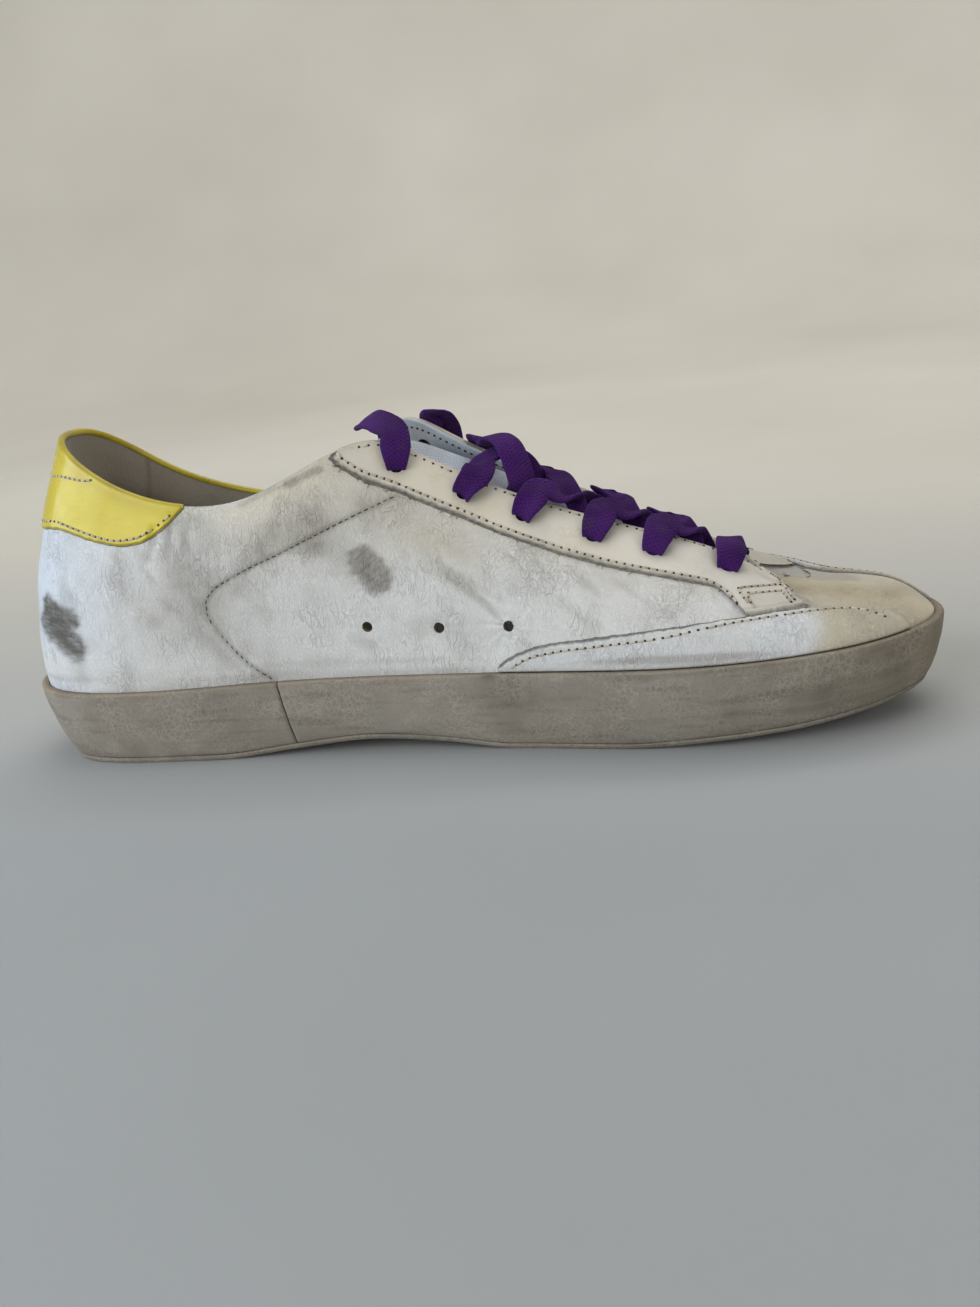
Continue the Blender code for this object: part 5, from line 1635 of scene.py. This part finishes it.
def build_stage():
    """A round bowl of pale sheet, flat under the shoe, and five soft lights."""
    turn = np.linspace(0, 2 * np.pi, 97)[:, None]
    bend = np.linspace(.1, np.pi / 2, 14)
    r = np.concatenate([np.linspace(0, 1.1, 12), 1.1 + .9 * np.sin(bend), [2.0, 2.0]])[None, :]
    z = np.concatenate([np.zeros(12), .9 * (1 - np.cos(bend)), [1.6, 2.4]])[None, :]
    grid = np.stack([r * np.cos(turn), r * np.sin(turn), z + 0 * turn], -1)
    grid[-1] = grid[0]
    points = grid.reshape(-1, 3)
    mesh = bpy.data.meshes.new("floor")
    mesh.from_pydata(points, [], quads(*grid.shape[:2]).tolist())
    mesh.materials.append(pale_floor())
    mesh.shade_smooth()
    placed("floor", mesh)
    for name, place, size, power, colour in (
            ("key", (-.70, -1.25, .52), 1.2, 12.5, (.97, .985, 1.0)),
            ("top", (.25, .35, 1.35), 1.3, 6.0, (1.0, .97, .92)),
            ("left", (-1.2, -.35, .40), .9, 6.5, (.78, .88, 1.0)),
            ("fill", (.95, -.95, .32), 1.0, 4.0, (1.0, .965, .92)),
            ("back", (0, .75, 1.50), 1.0, 7.0, (1.0, .98, .95))):
        data = bpy.data.lights.new(name, "AREA")
        data.size, data.energy, data.color = size, power, colour
        lamp = placed(name, data)
        lamp.location = place
        target = Vector((0, 2.0, .35)) if name == "back" else Vector((0, 0, .04))
        lamp.rotation_euler = (target - Vector(place)).to_track_quat("-Z", "Y").to_euler()
    world = bpy.data.worlds.new("world")
    bpy.context.scene.world = world
    world.use_nodes = True
    world.node_tree.nodes["Background"].inputs[0].default_value = (.93, .96, 1.0, 1)
    world.node_tree.nodes["Background"].inputs[1].default_value = .35
    bpy.context.scene.view_settings.view_transform = "Standard"


# ------------------------------------------------------------------ the add-on
def size_of(name, about, default):
    return bpy.props.FloatProperty(name=name, description=about, default=default, min=0, unit="LENGTH",
                                   precision=4)


def colour_of(name, about, default):
    return bpy.props.FloatVectorProperty(name=name, description=about, default=(*default, 1.0), size=4,
                                         subtype="COLOR", min=0, max=1)


class SneakerSizes(bpy.types.PropertyGroup):
    lace_width: size_of("Lace width", "Width of the flat lace", .0092)
    lace_thickness: size_of("Lace thickness", "Thickness of the flat lace", .0018)
    eyelet_bore: size_of("Eyelet bore", "Diameter of the punched eyelets", .0042)
    vent_bore: size_of("Vent bore", "Diameter of the vent holes", .0032)
    stitch_pitch: size_of("Stitch pitch", "Length of one stitch along its row", .0026)
    stitch_width: size_of("Thread width", "Thickness of the sewing thread", .0007)


class SneakerLooks(bpy.types.PropertyGroup):
    leather: colour_of("Leather", "White leather where it is clean", (.775, .775, .76))
    cream: colour_of("Cream leather", "Yellowed leather of the facings", (.72, .655, .52))
    yellow: colour_of("Yellow leather", "Glossy heel tab", (.70, .58, .012))
    dirt: colour_of("Dirt", "Rubbed-in dirt", (.27, .24, .195))
    raw: colour_of("Raw edge", "Frayed cut edge of the leather", (.075, .07, .062))
    rubber: colour_of("Rubber", "Side of the sole", (.235, .212, .177))
    vein: colour_of("Rubber veins", "Pale worn rubber", (.32, .295, .255))
    lip: colour_of("Sole lip", "Tan upper edge of the side", (.36, .27, .17))
    tread: colour_of("Tread", "Bottom and rim of the sole", (.13, .11, .09))
    lining: colour_of("Lining", "Napped lining round the heel", (.40, .35, .275))
    throat: colour_of("Throat lining", "Lining and tongue in the throat", (.60, .66, .76))
    lace: colour_of("Lace", "Purple cotton", (.052, .009, .118))
    floor: colour_of("Floor", "Plain sheet under the shoe", (.72, .69, .62))


def operator(step, label, about, build):
    """An operator that runs one build function."""
    def execute(self, context):
        build()
        return {"FINISHED"}
    return type("SNEAKER_OT_" + step, (bpy.types.Operator,), {
        "__doc__": about, "bl_idname": "sneaker." + step, "bl_label": label,
        "bl_options": {"REGISTER", "UNDO"}, "execute": execute})


STEPS = [
    operator("camera", "Camera", "Place the camera", build_camera),
    operator("lace_ends", "Lace ends", "Build the two free ends of the lace", build_lace_ends),
    operator("lacing", "Lacing", "Build the crossings of the lace through the eyelets", build_lacing),
    operator("upper", "Upper", "Build the folded leather upper with its lining and holes", build_upper),
    operator("heel_tab", "Heel tab", "Build the glossy tab round the heel", build_heel_tab),
    operator("facings", "Facings", "Build both eyelet facings", build_facings),
    operator("mudguards", "Mudguards", "Build both low overlays of the forefoot", build_mudguards),
    operator("side_strip", "Side strip", "Build the rubber band round the sole", build_side_strip),
    operator("outsole", "Outsole", "Build the treaded bottom and its rim", build_outsole),
    operator("insole", "Insole", "Build the footbed", build_insole),
    operator("tongue", "Tongue", "Build the woven tongue", build_tongue),
    operator("sewing", "Sewing", "Build the stitches and needle holes", build_sewing),
    operator("frays", "Frays", "Build the loose fibres of the torn edges", build_frays),
    operator("stage", "Stage", "Build the floor and the soft lights", build_stage),
]


class SNEAKER_PT_panel(bpy.types.Panel):
    """Sizes, colours and steps of the sneaker."""
    bl_idname = "SNEAKER_PT_panel"
    bl_label = "Worn low sneaker"
    bl_space_type = "VIEW_3D"
    bl_region_type = "UI"
    bl_category = "Sneaker"

    def draw(self, context):
        for group in (context.scene.sneaker_sizes, context.scene.sneaker_looks):
            for name in group.__annotations__:
                self.layout.prop(group, name)
        for step in STEPS:
            self.layout.operator(step.bl_idname)


CLASSES = [SneakerSizes, SneakerLooks] + STEPS + [SNEAKER_PT_panel]


def register():
    """Adds the panel, its operators and its properties."""
    for kind in CLASSES:
        bpy.utils.register_class(kind)
    bpy.types.Scene.sneaker_sizes = bpy.props.PointerProperty(type=SneakerSizes)
    bpy.types.Scene.sneaker_looks = bpy.props.PointerProperty(type=SneakerLooks)


def unregister():
    """Takes them out again."""
    del bpy.types.Scene.sneaker_looks
    del bpy.types.Scene.sneaker_sizes
    for kind in reversed(CLASSES):
        bpy.utils.unregister_class(kind)


def main():
    """Builds the shoe step by step, then writes the CAD box and the visual box."""
    register()
    for step in STEPS:
        getattr(bpy.ops.sneaker, step.bl_idname.split(".")[1])()


if __name__ == "__main__":
    main()
